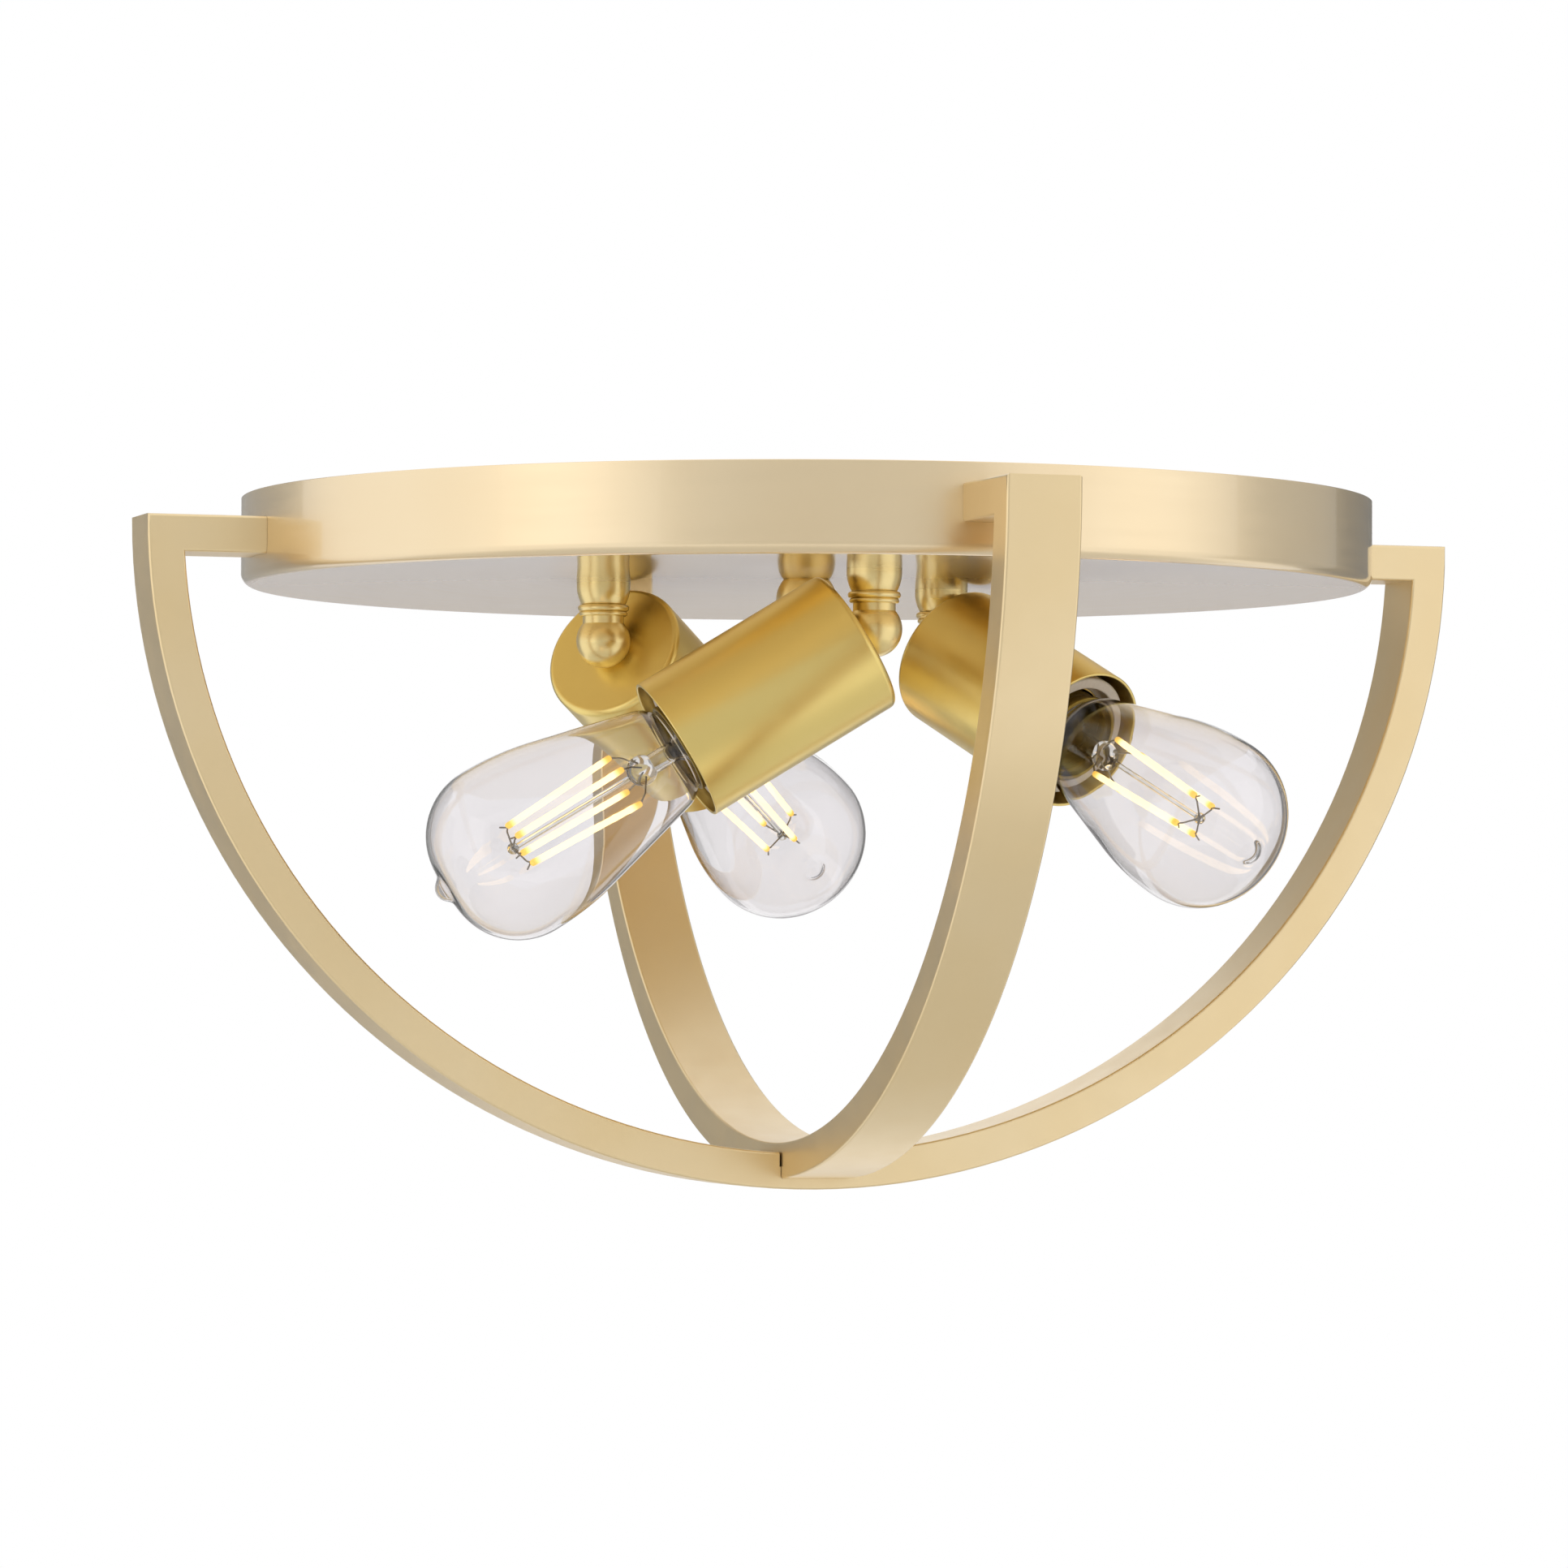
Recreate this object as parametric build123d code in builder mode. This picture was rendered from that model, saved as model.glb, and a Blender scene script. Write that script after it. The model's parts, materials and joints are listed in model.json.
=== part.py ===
from build123d import *
import os
from math import atan2, cos, degrees, radians, sin, sqrt

# Flush mount ceiling light: a shallow round pan, two crossed half hoops of flat bar and three
# swivelling lamps with clear filament bulbs. Millimetres, +Z up. The origin is the centre of the
# pan on the ceiling plane, so the light hangs towards -Z. The side hoop lies along X, the front
# hoop along Y, and -Y is the front.

os.makedirs("parts", exist_ok=True)

# Ceiling pan: a spun steel drum, open towards the ceiling, with its underside domed up a little
pan_diameter = 336.8
pan_height = 25.7
pan_wall = 1.0
pan_edge_radius = 3.4
pan_dome = 3.0

# Half hoops: rectangular bar bent to half an ellipse, with a stub arm at each end
hoop_span = 406.4
hoop_drop = 195.7
bar_depth = 10.8
bar_width = 21.8
bar_edge_radius = 0.8
arm_top_drop = 8.6
front_hoop_lift = 2.7
lap_side_gap = 0.5
butt_gap = 0.05

# Arm screws: two through the pan wall into each arm end
arm_screw_radius = 1.95
arm_screw_spacing = 11.0
arm_screw_reach = 11.0
arm_screw_head_radius = 3.5
arm_screw_head_height = 2.4

# Ceiling crossbar, its threaded nipple and lock nut, and the ball finial that holds the pan
crossbar_width = 20.0
crossbar_thickness = 2.0
crossbar_end_margin = 3.0
box_screw_spacing = 88.9
box_slot_length = 21.0
box_slot_width = 5.0
nipple_radius = 5.0
nipple_bore_radius = 3.4
nipple_grip = 8.5
lock_nut_flats = 14.0
lock_nut_height = 4.0
finial_ball_radius = 9.0
finial_ball_drop = 5.9
ground_screw_offset = 17.0
ground_screw_radius = 2.0
ground_screw_head_radius = 4.0
ground_screw_head_height = 2.6

# Lamp stems: a fixed collar under the pan and a turning ball below it
stem_circle_radius = 62.2
collar_radius = 8.05
collar_waist_radius = 6.6
collar_height = 6.5
collar_band_height = 1.3
collar_sweep_radius = 7.18
bead_radius = 7.7
bead_height = 3.4
neck_radius = 6.2
ball_radius = 8.15
ball_drop = 17.5
shank_radius = 4.95
shank_bore_radius = 3.2
shank_end = 2.0
washer_radius = 9.0
washer_thickness = 1.2
stem_nut_flats = 14.0
stem_nut_height = 4.0

# Lamp cup, on the flat that is milled on the ball
ball_flat_offset = 5.9
cup_radius = 21.85
cup_length = 61.9
cup_wall = 0.9
cup_edge_radius = 1.9
cup_nipple_radius = 4.0
cup_nipple_bore_radius = 2.5
cup_nipple_inset = 5.4
cup_nut_flats = 12.0
cup_nut_height = 3.0

# Lampholder: a ceramic body with a brass screw shell and a sprung centre contact
holder_radius = 18.7
holder_lip_depth = 3.0
holder_back_gap = 4.2
holder_back_thickness = 4.0
holder_floor_thickness = 5.0
holder_mouth_radius = 15.45
holder_mouth_depth = 5.0
terminal_hole_radius = 2.0
terminal_hole_offset = 9.5
shell_length = 21.8
shell_inner_radius = 13.45
shell_wall = 0.4
shell_floor_hole_radius = 7.0
contact_width = 6.0
contact_foot_reach = 6.2
contact_foot_length = 3.4
contact_tongue_reach = 4.5
contact_rise = 2.1
contact_strip = 0.5

# Bulb: screw base and a clear, pear shaped glass with a sealed pip at its end
base_length = 27.0
base_thread_radius = 13.0
base_thread_depth = 0.7
base_thread_pitch = 3.629
base_thread_turns = 4
base_groove_width = 2.6
base_flange_radius = 13.6
base_flange_height = 1.5
base_wall = 0.4
base_tip_radius = 4.5
base_tip_height = 1.0
insulator_radius = 9.0
insulator_height = 2.2
base_taper_height = 2.5
glass_neck_depth = 5.4
glass_wall = 0.7
glass_neck_bend = 1.5
glass_shoulder_bend = 9.4
glass_flare_angle = 50.0
glass_flank_angle = 14.3
glass_belly_bend = 88.0
glass_crown_bend = 21.0
glass_max_radius = 26.3
pip_radius = 4.0
pip_length = 3.2

# Inside the bulb: glass mount, filament sticks and their support wires. The waist of the mount's
# flare and the elbow of a near wire are shares of the flare and of the sticks' circle.
mount_flare_height = 6.1
flare_waist_rise = 0.45
flare_waist_reach = 0.55
mount_tube_radius = 3.0
mount_tube_wall = 0.8
mount_press_radius = 4.5
mount_press_height = 12.1
rod_radius = 0.8
far_bead_radius = 1.7
stick_radius = 1.0
stick_start = 17.4
stick_end = 53.9
stick_near_circle = 8.6
stick_far_circle = 6.8
stick_turn = 23.6
stick_count = 4
wire_radius = 0.25
wire_bend = 1.2
wire_elbow_reach = 0.75

# Clearances: a turning fit, a rubbing face, a threaded fit and a hole that a screw drops through
swivel_gap = 0.05
rub_gap = 0.1
thread_gap = 0.05
clear_gap = 0.25
press_gap = 0.1
bulb_seat_gap = 0.2

# Each lamp: where its stem stands round the pan, which way it points and how far it tips down
lamps = {
    "left": {"stem": 150.0, "heading": 42.3, "tilt": 27.0},
    "front": {"stem": 270.0, "heading": 170.2, "tilt": 31.5},
    "right": {"stem": 30.0, "heading": -66.3, "tilt": 26.0},
}

pan_radius = pan_diameter / 2
pan_inner_radius = pan_radius - pan_wall
pan_floor_radius = pan_radius - pan_edge_radius
dome_radius = (pan_floor_radius**2 + pan_dome**2) / (2 * pan_dome)
dome_centre = pan_dome - pan_height - dome_radius
stem_angles = [lamp["stem"] for lamp in lamps.values()]


def underside(radius):
    """Height of the pan's domed underside at this radius from its centre."""
    return dome_centre + sqrt(dome_radius**2 - radius**2)


def finish(piece, name, place=None):
    """Put a finished piece in its place, label it with its node name and write its STEP file."""
    if place:
        piece.part = piece.part.moved(place)
    piece.part.label = name
    export_step(piece.part, f"parts/{name}.step")


def nut_profile(flats, bore_radius):
    """Hexagon nut, sized across its flats, with its bore."""
    RegularPolygon(flats / 2, 6, major_radius=False)
    Circle(bore_radius, mode=Mode.SUBTRACT)


# Ceiling pan

arm_height = -arm_top_drop - bar_depth / 2
arm_screw_places = [-arm_screw_spacing / 2, arm_screw_spacing / 2]
hoop_planes = {
    "side": {"hoop": Plane.XZ, "butt": Plane.YZ, "lift": 0},
    "front": {"hoop": Plane.YZ, "butt": Plane.XZ, "lift": front_hoop_lift},
}


def pan_profile(inset):
    """Half section of the drum, drawn this far inside its outer skin."""
    wall = pan_radius - inset
    bend = pan_edge_radius - inset
    corner = pan_edge_radius - pan_height
    dome = dome_radius + inset
    with BuildLine() as profile:
        Polyline((0, dome_centre + dome), (0, 0), (wall, 0), (wall, corner))
        ThreePointArc(
            (wall, corner),
            (pan_floor_radius + bend * sin(radians(45)), corner - bend * cos(radians(45))),
            (pan_floor_radius, dome_centre + sqrt(dome**2 - pan_floor_radius**2)),
        )
        ThreePointArc(
            (pan_floor_radius, dome_centre + sqrt(dome**2 - pan_floor_radius**2)),
            (pan_floor_radius / 2, dome_centre + sqrt(dome**2 - (pan_floor_radius / 2) ** 2)),
            (0, dome_centre + dome),
        )
    return profile.line


with BuildPart() as ceiling_pan:
    with BuildSketch(Plane.XZ):
        add(pan_profile(0))
        make_face()
    revolve(axis=Axis.Z)
    with BuildSketch(Plane.XZ):
        add(pan_profile(pan_wall))
        make_face()
    revolve(axis=Axis.Z, mode=Mode.SUBTRACT)
    with BuildSketch(Plane.XY.offset(-pan_height)):
        Circle(nipple_radius + clear_gap)
        for angle in stem_angles:
            with PolarLocations(stem_circle_radius, 1, start_angle=angle):
                Circle(shank_radius + clear_gap)
    extrude(amount=2 * pan_dome, mode=Mode.SUBTRACT)
    for planes in hoop_planes.values():
        with BuildSketch(planes["butt"]):
            with Locations([(place, arm_height + planes["lift"]) for place in arm_screw_places]):
                Circle(arm_screw_radius + clear_gap)
        extrude(amount=pan_diameter, both=True, mode=Mode.SUBTRACT)
finish(ceiling_pan, "ceiling_pan")

# Half hoops, half lapped where they cross

hoop_outer = hoop_span / 2
lap_height = -arm_top_drop - hoop_drop + (bar_depth + front_hoop_lift) / 2
arm_inner_end = pan_radius - 2 * bar_depth
arm_length = hoop_outer - bar_depth / 2 - arm_inner_end

for side, slot_direction in (("side", 1), ("front", -1)):
    planes = hoop_planes[side]
    lift = planes["lift"]
    with BuildPart() as hoop:
        with BuildSketch(planes["hoop"]):
            with Locations((0, lift - arm_top_drop)):
                Ellipse(hoop_outer, hoop_drop)
                Ellipse(hoop_outer - bar_depth, hoop_drop - bar_depth, mode=Mode.SUBTRACT)
                Rectangle(2 * hoop_span, hoop_span, align=(Align.CENTER, Align.MIN), mode=Mode.SUBTRACT)
            with Locations([(end * (arm_inner_end + arm_length / 2), arm_height + lift) for end in (-1, 1)]):
                Rectangle(arm_length, bar_depth)
        extrude(amount=bar_width / 2, both=True)
        bar_sides = hoop.faces().filter_by(Axis((0, 0, 0), planes["hoop"].z_dir))
        fillet(bar_sides.edges(), bar_edge_radius)
        with BuildSketch(Plane.XY):
            Circle(pan_radius + butt_gap)
        extrude(amount=-arm_top_drop - 2 * bar_depth, mode=Mode.SUBTRACT)
        with BuildSketch(planes["butt"]):
            with Locations([(place, arm_height + lift) for place in arm_screw_places]):
                Circle(arm_screw_radius + thread_gap)
        extrude(amount=pan_radius + arm_screw_reach + thread_gap, both=True, mode=Mode.SUBTRACT)
        with BuildSketch(Plane.XY.offset(lap_height)):
            Rectangle(bar_width + 2 * lap_side_gap, bar_width + 2 * lap_side_gap)
        extrude(amount=slot_direction * 2 * bar_depth, mode=Mode.SUBTRACT)
    finish(hoop, f"{side}_hoop")

# Arm screws, driven from inside the pan

arm_screw_seat = sqrt(pan_inner_radius**2 - (arm_screw_spacing / 2 + arm_screw_head_radius) ** 2)

with BuildPart() as hoop_screws:
    for planes in hoop_planes.values():
        places = [(place, arm_height + planes["lift"]) for place in arm_screw_places]
        for end in (-1, 1):
            with BuildSketch(planes["butt"].offset(end * arm_screw_seat)):
                with Locations(places):
                    Circle(arm_screw_head_radius)
            extrude(amount=-end * arm_screw_head_height)
            with BuildSketch(planes["butt"].offset(end * arm_screw_seat)):
                with Locations(places):
                    Circle(arm_screw_radius)
            extrude(amount=end * (pan_radius + arm_screw_reach - arm_screw_seat))
finish(hoop_screws, "hoop_screws")

# Ceiling crossbar with its nipple, lock nut and ground screw, and the ball finial

crossbar_length = box_screw_spacing + box_slot_length + 2 * crossbar_end_margin
finial_foot_radius = sqrt(finial_ball_radius**2 - finial_ball_drop**2)
finial_seat = underside(finial_foot_radius)

with BuildPart() as crossbar:
    with BuildSketch():
        Rectangle(crossbar_length, crossbar_width)
        Circle(nipple_radius + thread_gap, mode=Mode.SUBTRACT)
        with Locations((ground_screw_offset, 0)):
            Circle(ground_screw_radius + thread_gap, mode=Mode.SUBTRACT)
        with GridLocations(box_screw_spacing, 0, 2, 1):
            SlotOverall(box_slot_length, box_slot_width, mode=Mode.SUBTRACT)
    extrude(amount=-crossbar_thickness)
finish(crossbar, "crossbar")

with BuildPart() as crossbar_nipple:
    with BuildSketch():
        Circle(nipple_radius)
        Circle(nipple_bore_radius, mode=Mode.SUBTRACT)
    extrude(amount=finial_seat - nipple_grip)
finish(crossbar_nipple, "crossbar_nipple")

with BuildPart() as crossbar_nut:
    with BuildSketch(Plane.XY.offset(-crossbar_thickness)):
        nut_profile(lock_nut_flats, nipple_radius + thread_gap)
    extrude(amount=-lock_nut_height)
finish(crossbar_nut, "crossbar_nut")

with BuildPart() as ball_finial:
    with Locations((0, 0, finial_seat - finial_ball_drop)):
        Sphere(finial_ball_radius)
    with BuildSketch(Plane.XY.offset(finial_seat)):
        Circle(finial_ball_radius)
    extrude(amount=finial_ball_radius, mode=Mode.SUBTRACT)
    with BuildSketch(Plane.XY.offset(finial_seat)):
        Circle(nipple_radius + thread_gap)
    extrude(amount=-nipple_grip - thread_gap, mode=Mode.SUBTRACT)
finish(ball_finial, "ball_finial")

with BuildPart() as ground_screw:
    with BuildSketch(Plane.XY.offset(-crossbar_thickness)):
        with Locations((ground_screw_offset, 0)):
            Circle(ground_screw_head_radius)
    extrude(amount=-ground_screw_head_height)
    with BuildSketch(Plane.XY.offset(-crossbar_thickness - ground_screw_head_height)):
        with Locations((ground_screw_offset, 0)):
            Circle(ground_screw_radius)
    extrude(amount=crossbar_thickness + ground_screw_head_height)
finish(ground_screw, "ground_screw")

# Washers under the stem nuts, shaped to the domed pan floor

washer_height = underside(stem_circle_radius) + pan_wall + washer_thickness

with BuildPart() as stem_washers:
    with BuildSketch(Plane.XY.offset(washer_height)):
        for angle in stem_angles:
            with PolarLocations(stem_circle_radius, 1, start_angle=angle):
                Circle(washer_radius)
                Circle(shank_radius + clear_gap, mode=Mode.SUBTRACT)
    extrude(amount=-2 * washer_thickness)
    with Locations((0, 0, dome_centre)):
        Sphere(dome_radius + pan_wall, mode=Mode.SUBTRACT)
finish(stem_washers, "stem_washers")

# Stems: a fixed collar, the turning ball below it and the nut on its shank

stem_seat = underside(stem_circle_radius)
nut_seat = washer_height + rub_gap
shank_top = nut_seat + stem_nut_height + shank_end
collar_bottom = stem_seat - collar_height
collar_land = stem_seat - collar_band_height
bead_top = collar_bottom - rub_gap
bead_bottom = bead_top - bead_height
ball_middle = stem_seat - ball_drop
neck_bottom = ball_middle + sqrt(ball_radius**2 - neck_radius**2)

for side, lamp in lamps.items():
    foot_x = stem_circle_radius * cos(radians(lamp["stem"]))
    foot_y = stem_circle_radius * sin(radians(lamp["stem"]))
    heading = radians(lamp["heading"])
    tilt = radians(lamp["tilt"])
    out = Vector(cos(heading) * cos(tilt), sin(heading) * cos(tilt), -sin(tilt))
    ball = Vector(foot_x, foot_y, ball_middle)
    upright = Plane(origin=(foot_x, foot_y, 0), x_dir=(1, 0, 0), z_dir=(0, -1, 0))
    stem_axis = Axis((foot_x, foot_y, 0), (0, 0, 1))
    lamp["place"] = Plane(origin=ball, x_dir=out, z_dir=(-sin(heading), cos(heading), 0)).location

    with BuildPart() as collar:
        with BuildSketch(upright):
            with BuildLine():
                Polyline(
                    (collar_waist_radius, collar_bottom),
                    (shank_radius + swivel_gap, collar_bottom),
                    (shank_radius + swivel_gap, stem_seat + pan_wall),
                    (collar_radius, stem_seat + pan_wall),
                    (collar_radius, collar_land),
                )
                ThreePointArc(
                    (collar_radius, collar_land),
                    (collar_sweep_radius, (stem_seat + collar_bottom) / 2),
                    (collar_waist_radius, collar_bottom),
                )
            make_face()
        revolve(axis=stem_axis)
        with Locations((0, 0, dome_centre)):
            Sphere(dome_radius, mode=Mode.INTERSECT)
    finish(collar, f"{side}_collar")

    with BuildPart() as swivel_ball:
        with BuildSketch(upright):
            with BuildLine():
                Polyline(
                    (0, ball_middle),
                    (shank_bore_radius, ball_middle),
                    (shank_bore_radius, shank_top),
                    (shank_radius, shank_top),
                    (shank_radius, bead_top),
                    (collar_waist_radius, bead_top),
                )
                ThreePointArc(
                    (collar_waist_radius, bead_top),
                    (bead_radius, (bead_top + bead_bottom) / 2),
                    (neck_radius, bead_bottom),
                )
                Line((neck_radius, bead_bottom), (neck_radius, neck_bottom))
                ThreePointArc(
                    (neck_radius, neck_bottom),
                    (ball_radius, ball_middle),
                    (0, ball_middle - ball_radius),
                )
                Line((0, ball_middle - ball_radius), (0, ball_middle))
            make_face()
        revolve(axis=stem_axis)
        with BuildSketch(Plane(ball + out * ball_flat_offset, z_dir=out)):
            Circle(ball_radius)
        extrude(amount=ball_radius, mode=Mode.SUBTRACT)
        with BuildSketch(Plane(ball, z_dir=out)):
            Circle(cup_nipple_radius + thread_gap)
        extrude(amount=ball_radius, mode=Mode.SUBTRACT)
    finish(swivel_ball, f"{side}_swivel_ball")

    with BuildPart() as stem_nut:
        with BuildSketch(Plane((foot_x, foot_y, nut_seat))):
            nut_profile(stem_nut_flats, shank_radius + thread_gap)
        extrude(amount=stem_nut_height)
    finish(stem_nut, f"{side}_stem_nut")

# What each ball carries is drawn about the X axis, with the middle of the ball at zero and +X
# towards the mouth of the cup, and is then put in its place three times.

cup_floor = ball_flat_offset + cup_wall
cup_mouth = ball_flat_offset + cup_length
holder_back = cup_floor + cup_nut_height + holder_back_gap
cavity_start = holder_back + holder_back_thickness
holder_mouth = cup_mouth - holder_lip_depth
shell_mouth = holder_mouth - holder_mouth_depth
holder_floor = shell_mouth - shell_length
cavity_end = holder_floor - holder_floor_thickness
bulb_tip_end = holder_floor + contact_rise + bulb_seat_gap
insulator_end = bulb_tip_end + base_tip_height
base_end = insulator_end + insulator_height
base_face = bulb_tip_end + base_length
glass_end = base_face - glass_neck_depth

cup_hole_radius = cup_nipple_radius + thread_gap
shell_bore_radius = shell_inner_radius + shell_wall + press_gap
glass_neck_radius = base_thread_radius - base_wall - press_gap


def ring_profile(start, end, inner, outer, mode=Mode.ADD):
    """Rectangle that makes a ring between two stations when it is turned about the lamp's axis."""
    with Locations((start, inner)):
        Rectangle(end - start, outer - inner, align=(Align.MIN, Align.MIN), mode=mode)


def lamp_point(station, radius, angle):
    """Point at this station, this far from the lamp's axis and this many degrees round it."""
    return Vector(station, radius * cos(radians(angle)), radius * sin(radians(angle)))


# Cup, clamped on the ball's flat by its nipple and nut

cup_bend_station = ball_flat_offset + cup_edge_radius
cup_bend_radius = cup_radius - cup_edge_radius


def cup_corner(bend):
    """Quarter round between the cup's side and its floor."""
    middle = bend * sin(radians(45))
    ThreePointArc(
        (cup_bend_station, cup_bend_radius + bend),
        (cup_bend_station - middle, cup_bend_radius + middle),
        (cup_bend_station - bend, cup_bend_radius),
    )


for side, lamp in lamps.items():
    with BuildPart() as cup:
        with BuildSketch():
            with BuildLine():
                Polyline(
                    (cup_bend_station, cup_radius),
                    (cup_mouth, cup_radius),
                    (cup_mouth, cup_radius - cup_wall),
                    (cup_bend_station, cup_radius - cup_wall),
                )
                cup_corner(cup_edge_radius - cup_wall)
                Polyline(
                    (cup_floor, cup_bend_radius),
                    (cup_floor, cup_hole_radius),
                    (ball_flat_offset, cup_hole_radius),
                    (ball_flat_offset, cup_bend_radius),
                )
                cup_corner(cup_edge_radius)
            make_face()
        revolve(axis=Axis.X)
    finish(cup, f"{side}_cup", lamp["place"])

    with BuildPart() as cup_nipple:
        with BuildSketch(Plane.YZ.offset(ball_flat_offset - cup_nipple_inset)):
            Circle(cup_nipple_radius)
            Circle(cup_nipple_bore_radius, mode=Mode.SUBTRACT)
        extrude(amount=cavity_start - ball_flat_offset + cup_nipple_inset)
    finish(cup_nipple, f"{side}_cup_nipple", lamp["place"])

    with BuildPart() as cup_nut:
        with BuildSketch(Plane.YZ.offset(cup_floor)):
            nut_profile(cup_nut_flats, cup_hole_radius)
        extrude(amount=cup_nut_height)
    finish(cup_nut, f"{side}_cup_nut", lamp["place"])

# Lampholder: ceramic body, screw shell and centre contact

for side, lamp in lamps.items():
    with BuildPart() as holder_body:
        with BuildSketch():
            ring_profile(holder_back, holder_mouth, cup_hole_radius, holder_radius)
            ring_profile(cavity_start, cavity_end, 0, shell_bore_radius, mode=Mode.SUBTRACT)
            ring_profile(cavity_end, holder_floor, 0, cup_hole_radius)
            ring_profile(holder_floor, shell_mouth, 0, shell_bore_radius, mode=Mode.SUBTRACT)
            ring_profile(shell_mouth, holder_mouth, 0, holder_mouth_radius, mode=Mode.SUBTRACT)
        revolve(axis=Axis.X)
        with BuildSketch(Plane.YZ.offset(cavity_end)):
            with Locations((-terminal_hole_offset, 0), (terminal_hole_offset, 0)):
                Circle(terminal_hole_radius)
        extrude(amount=holder_floor_thickness, mode=Mode.SUBTRACT)
    finish(holder_body, f"{side}_holder_body", lamp["place"])

    with BuildPart() as screw_shell:
        with BuildSketch():
            ring_profile(holder_floor, shell_mouth, shell_inner_radius, shell_inner_radius + shell_wall)
            ring_profile(
                holder_floor, holder_floor + shell_wall, shell_floor_hole_radius, shell_inner_radius
            )
        revolve(axis=Axis.X)
    finish(screw_shell, f"{side}_screw_shell", lamp["place"])

    foot_start = contact_foot_reach - contact_foot_length
    foot_top = holder_floor + contact_strip
    tongue_start = -contact_foot_length / 2
    tongue_top = holder_floor + contact_rise
    with BuildPart() as centre_contact:
        with BuildSketch():
            with BuildLine():
                Polyline(
                    (holder_floor, contact_foot_reach),
                    (foot_top, contact_foot_reach),
                    (foot_top, foot_start + contact_strip),
                    (tongue_top, tongue_start + contact_strip),
                    (tongue_top, -contact_tongue_reach),
                    (tongue_top - contact_strip, -contact_tongue_reach),
                    (tongue_top - contact_strip, tongue_start),
                    (holder_floor, foot_start),
                    close=True,
                )
            make_face()
        extrude(amount=contact_width / 2, both=True)
    finish(centre_contact, f"{side}_centre_contact", lamp["place"])

# Bulb: screw base, insulator and tip

base_root_radius = base_thread_radius - base_thread_depth
base_bore_radius = base_root_radius - base_wall
base_taper_end = base_end + base_taper_height
groove_bend = ((base_groove_width / 2) ** 2 + base_thread_depth**2) / (2 * base_thread_depth)
thread_start = glass_end - base_thread_turns * base_thread_pitch
groove_stations = [thread_start + (turn + 0.5) * base_thread_pitch for turn in range(base_thread_turns)]
tip_bend = (base_tip_radius**2 + base_tip_height**2) / (2 * base_tip_height)

for side, lamp in lamps.items():
    with BuildPart() as bulb_base:
        with BuildSketch():
            with BuildLine():
                Polyline(
                    (base_end, insulator_radius - base_wall),
                    (base_end, insulator_radius),
                    (base_taper_end, base_thread_radius),
                    (base_face - base_flange_height, base_thread_radius),
                    (base_face - base_flange_height, base_flange_radius),
                    (base_face, base_flange_radius),
                    (base_face, glass_neck_radius + press_gap),
                    (glass_end, glass_neck_radius + press_gap),
                    (glass_end, base_bore_radius),
                    (base_taper_end, base_bore_radius),
                    close=True,
                )
            make_face()
            with Locations([(station, base_root_radius + groove_bend) for station in groove_stations]):
                Circle(groove_bend, mode=Mode.SUBTRACT)
        revolve(axis=Axis.X)
    finish(bulb_base, f"{side}_bulb_base", lamp["place"])

    with BuildPart() as bulb_insulator:
        with BuildSketch(Plane.YZ.offset(base_end)):
            Circle(insulator_radius)
        with BuildSketch(Plane.YZ.offset(insulator_end + rub_gap)):
            Circle(base_tip_radius)
        loft()
    finish(bulb_insulator, f"{side}_bulb_insulator", lamp["place"])

    with BuildPart() as bulb_tip:
        with Locations((bulb_tip_end + tip_bend, 0, 0)):
            Sphere(tip_bend)
        with BuildSketch(Plane.YZ.offset(insulator_end)):
            Circle(2 * tip_bend)
        extrude(amount=2 * tip_bend, mode=Mode.SUBTRACT)
    finish(bulb_tip, f"{side}_bulb_tip", lamp["place"])

# Bulb glass: a neck, a flare, a straight flank, a belly and a crown, all tangent, and a sealed pip

flare_rise = glass_neck_bend * (1 - cos(radians(glass_flare_angle)))
shoulder_rise = glass_shoulder_bend * (cos(radians(glass_flank_angle)) - cos(radians(glass_flare_angle)))
belly_rise = glass_belly_bend * (1 - cos(radians(glass_flank_angle)))
flank_rise = glass_max_radius - glass_neck_radius - flare_rise - shoulder_rise - belly_rise
flank_length = flank_rise / sin(radians(glass_flank_angle))
pip_bend = (pip_radius**2 + pip_length**2) / (2 * pip_length)
pip_sweep = degrees(atan2(pip_radius, pip_bend - pip_length))


def glass_profile(inset):
    """Half section of the glass from its neck to its crown, drawn this far inside its outer skin."""
    neck = (base_face, glass_neck_radius - inset)
    neck_start = glass_end - inset
    with BuildLine() as profile:
        Polyline((neck_start, 0), (neck_start, neck[1]), neck)
        flare = JernArc(neck, (1, 0), glass_neck_bend + inset, glass_flare_angle)
        shoulder = JernArc(
            flare @ 1, flare % 1, glass_shoulder_bend - inset, glass_flank_angle - glass_flare_angle
        )
        flank = Line(shoulder @ 1, shoulder @ 1 + (shoulder % 1) * flank_length)
        belly = JernArc(flank @ 1, flank % 1, glass_belly_bend - inset, -glass_flank_angle)
        crown = JernArc(belly @ 1, (1, 0), glass_crown_bend - inset, -90)
        crown_station = (crown @ 1).X
        if inset:
            Polyline(crown @ 1, (crown_station, 0), (neck_start, 0))
        else:
            pip_centre = crown_station + pip_length - pip_bend
            Line(crown @ 1, (crown_station, pip_radius))
            CenterArc((pip_centre, 0), pip_bend, 0, pip_sweep)
            Line((pip_centre + pip_bend, 0), (neck_start, 0))
    return profile.line


for side, lamp in lamps.items():
    with BuildPart() as bulb_glass:
        with BuildSketch():
            add(glass_profile(0))
            make_face()
        revolve(axis=Axis.X)
        with BuildSketch():
            add(glass_profile(glass_wall))
            make_face()
        revolve(axis=Axis.X, mode=Mode.SUBTRACT)
    finish(bulb_glass, f"{side}_bulb_glass", lamp["place"])

# Inside the glass: the flared mount with its press, rod and far bead, the sticks and the wires

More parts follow.
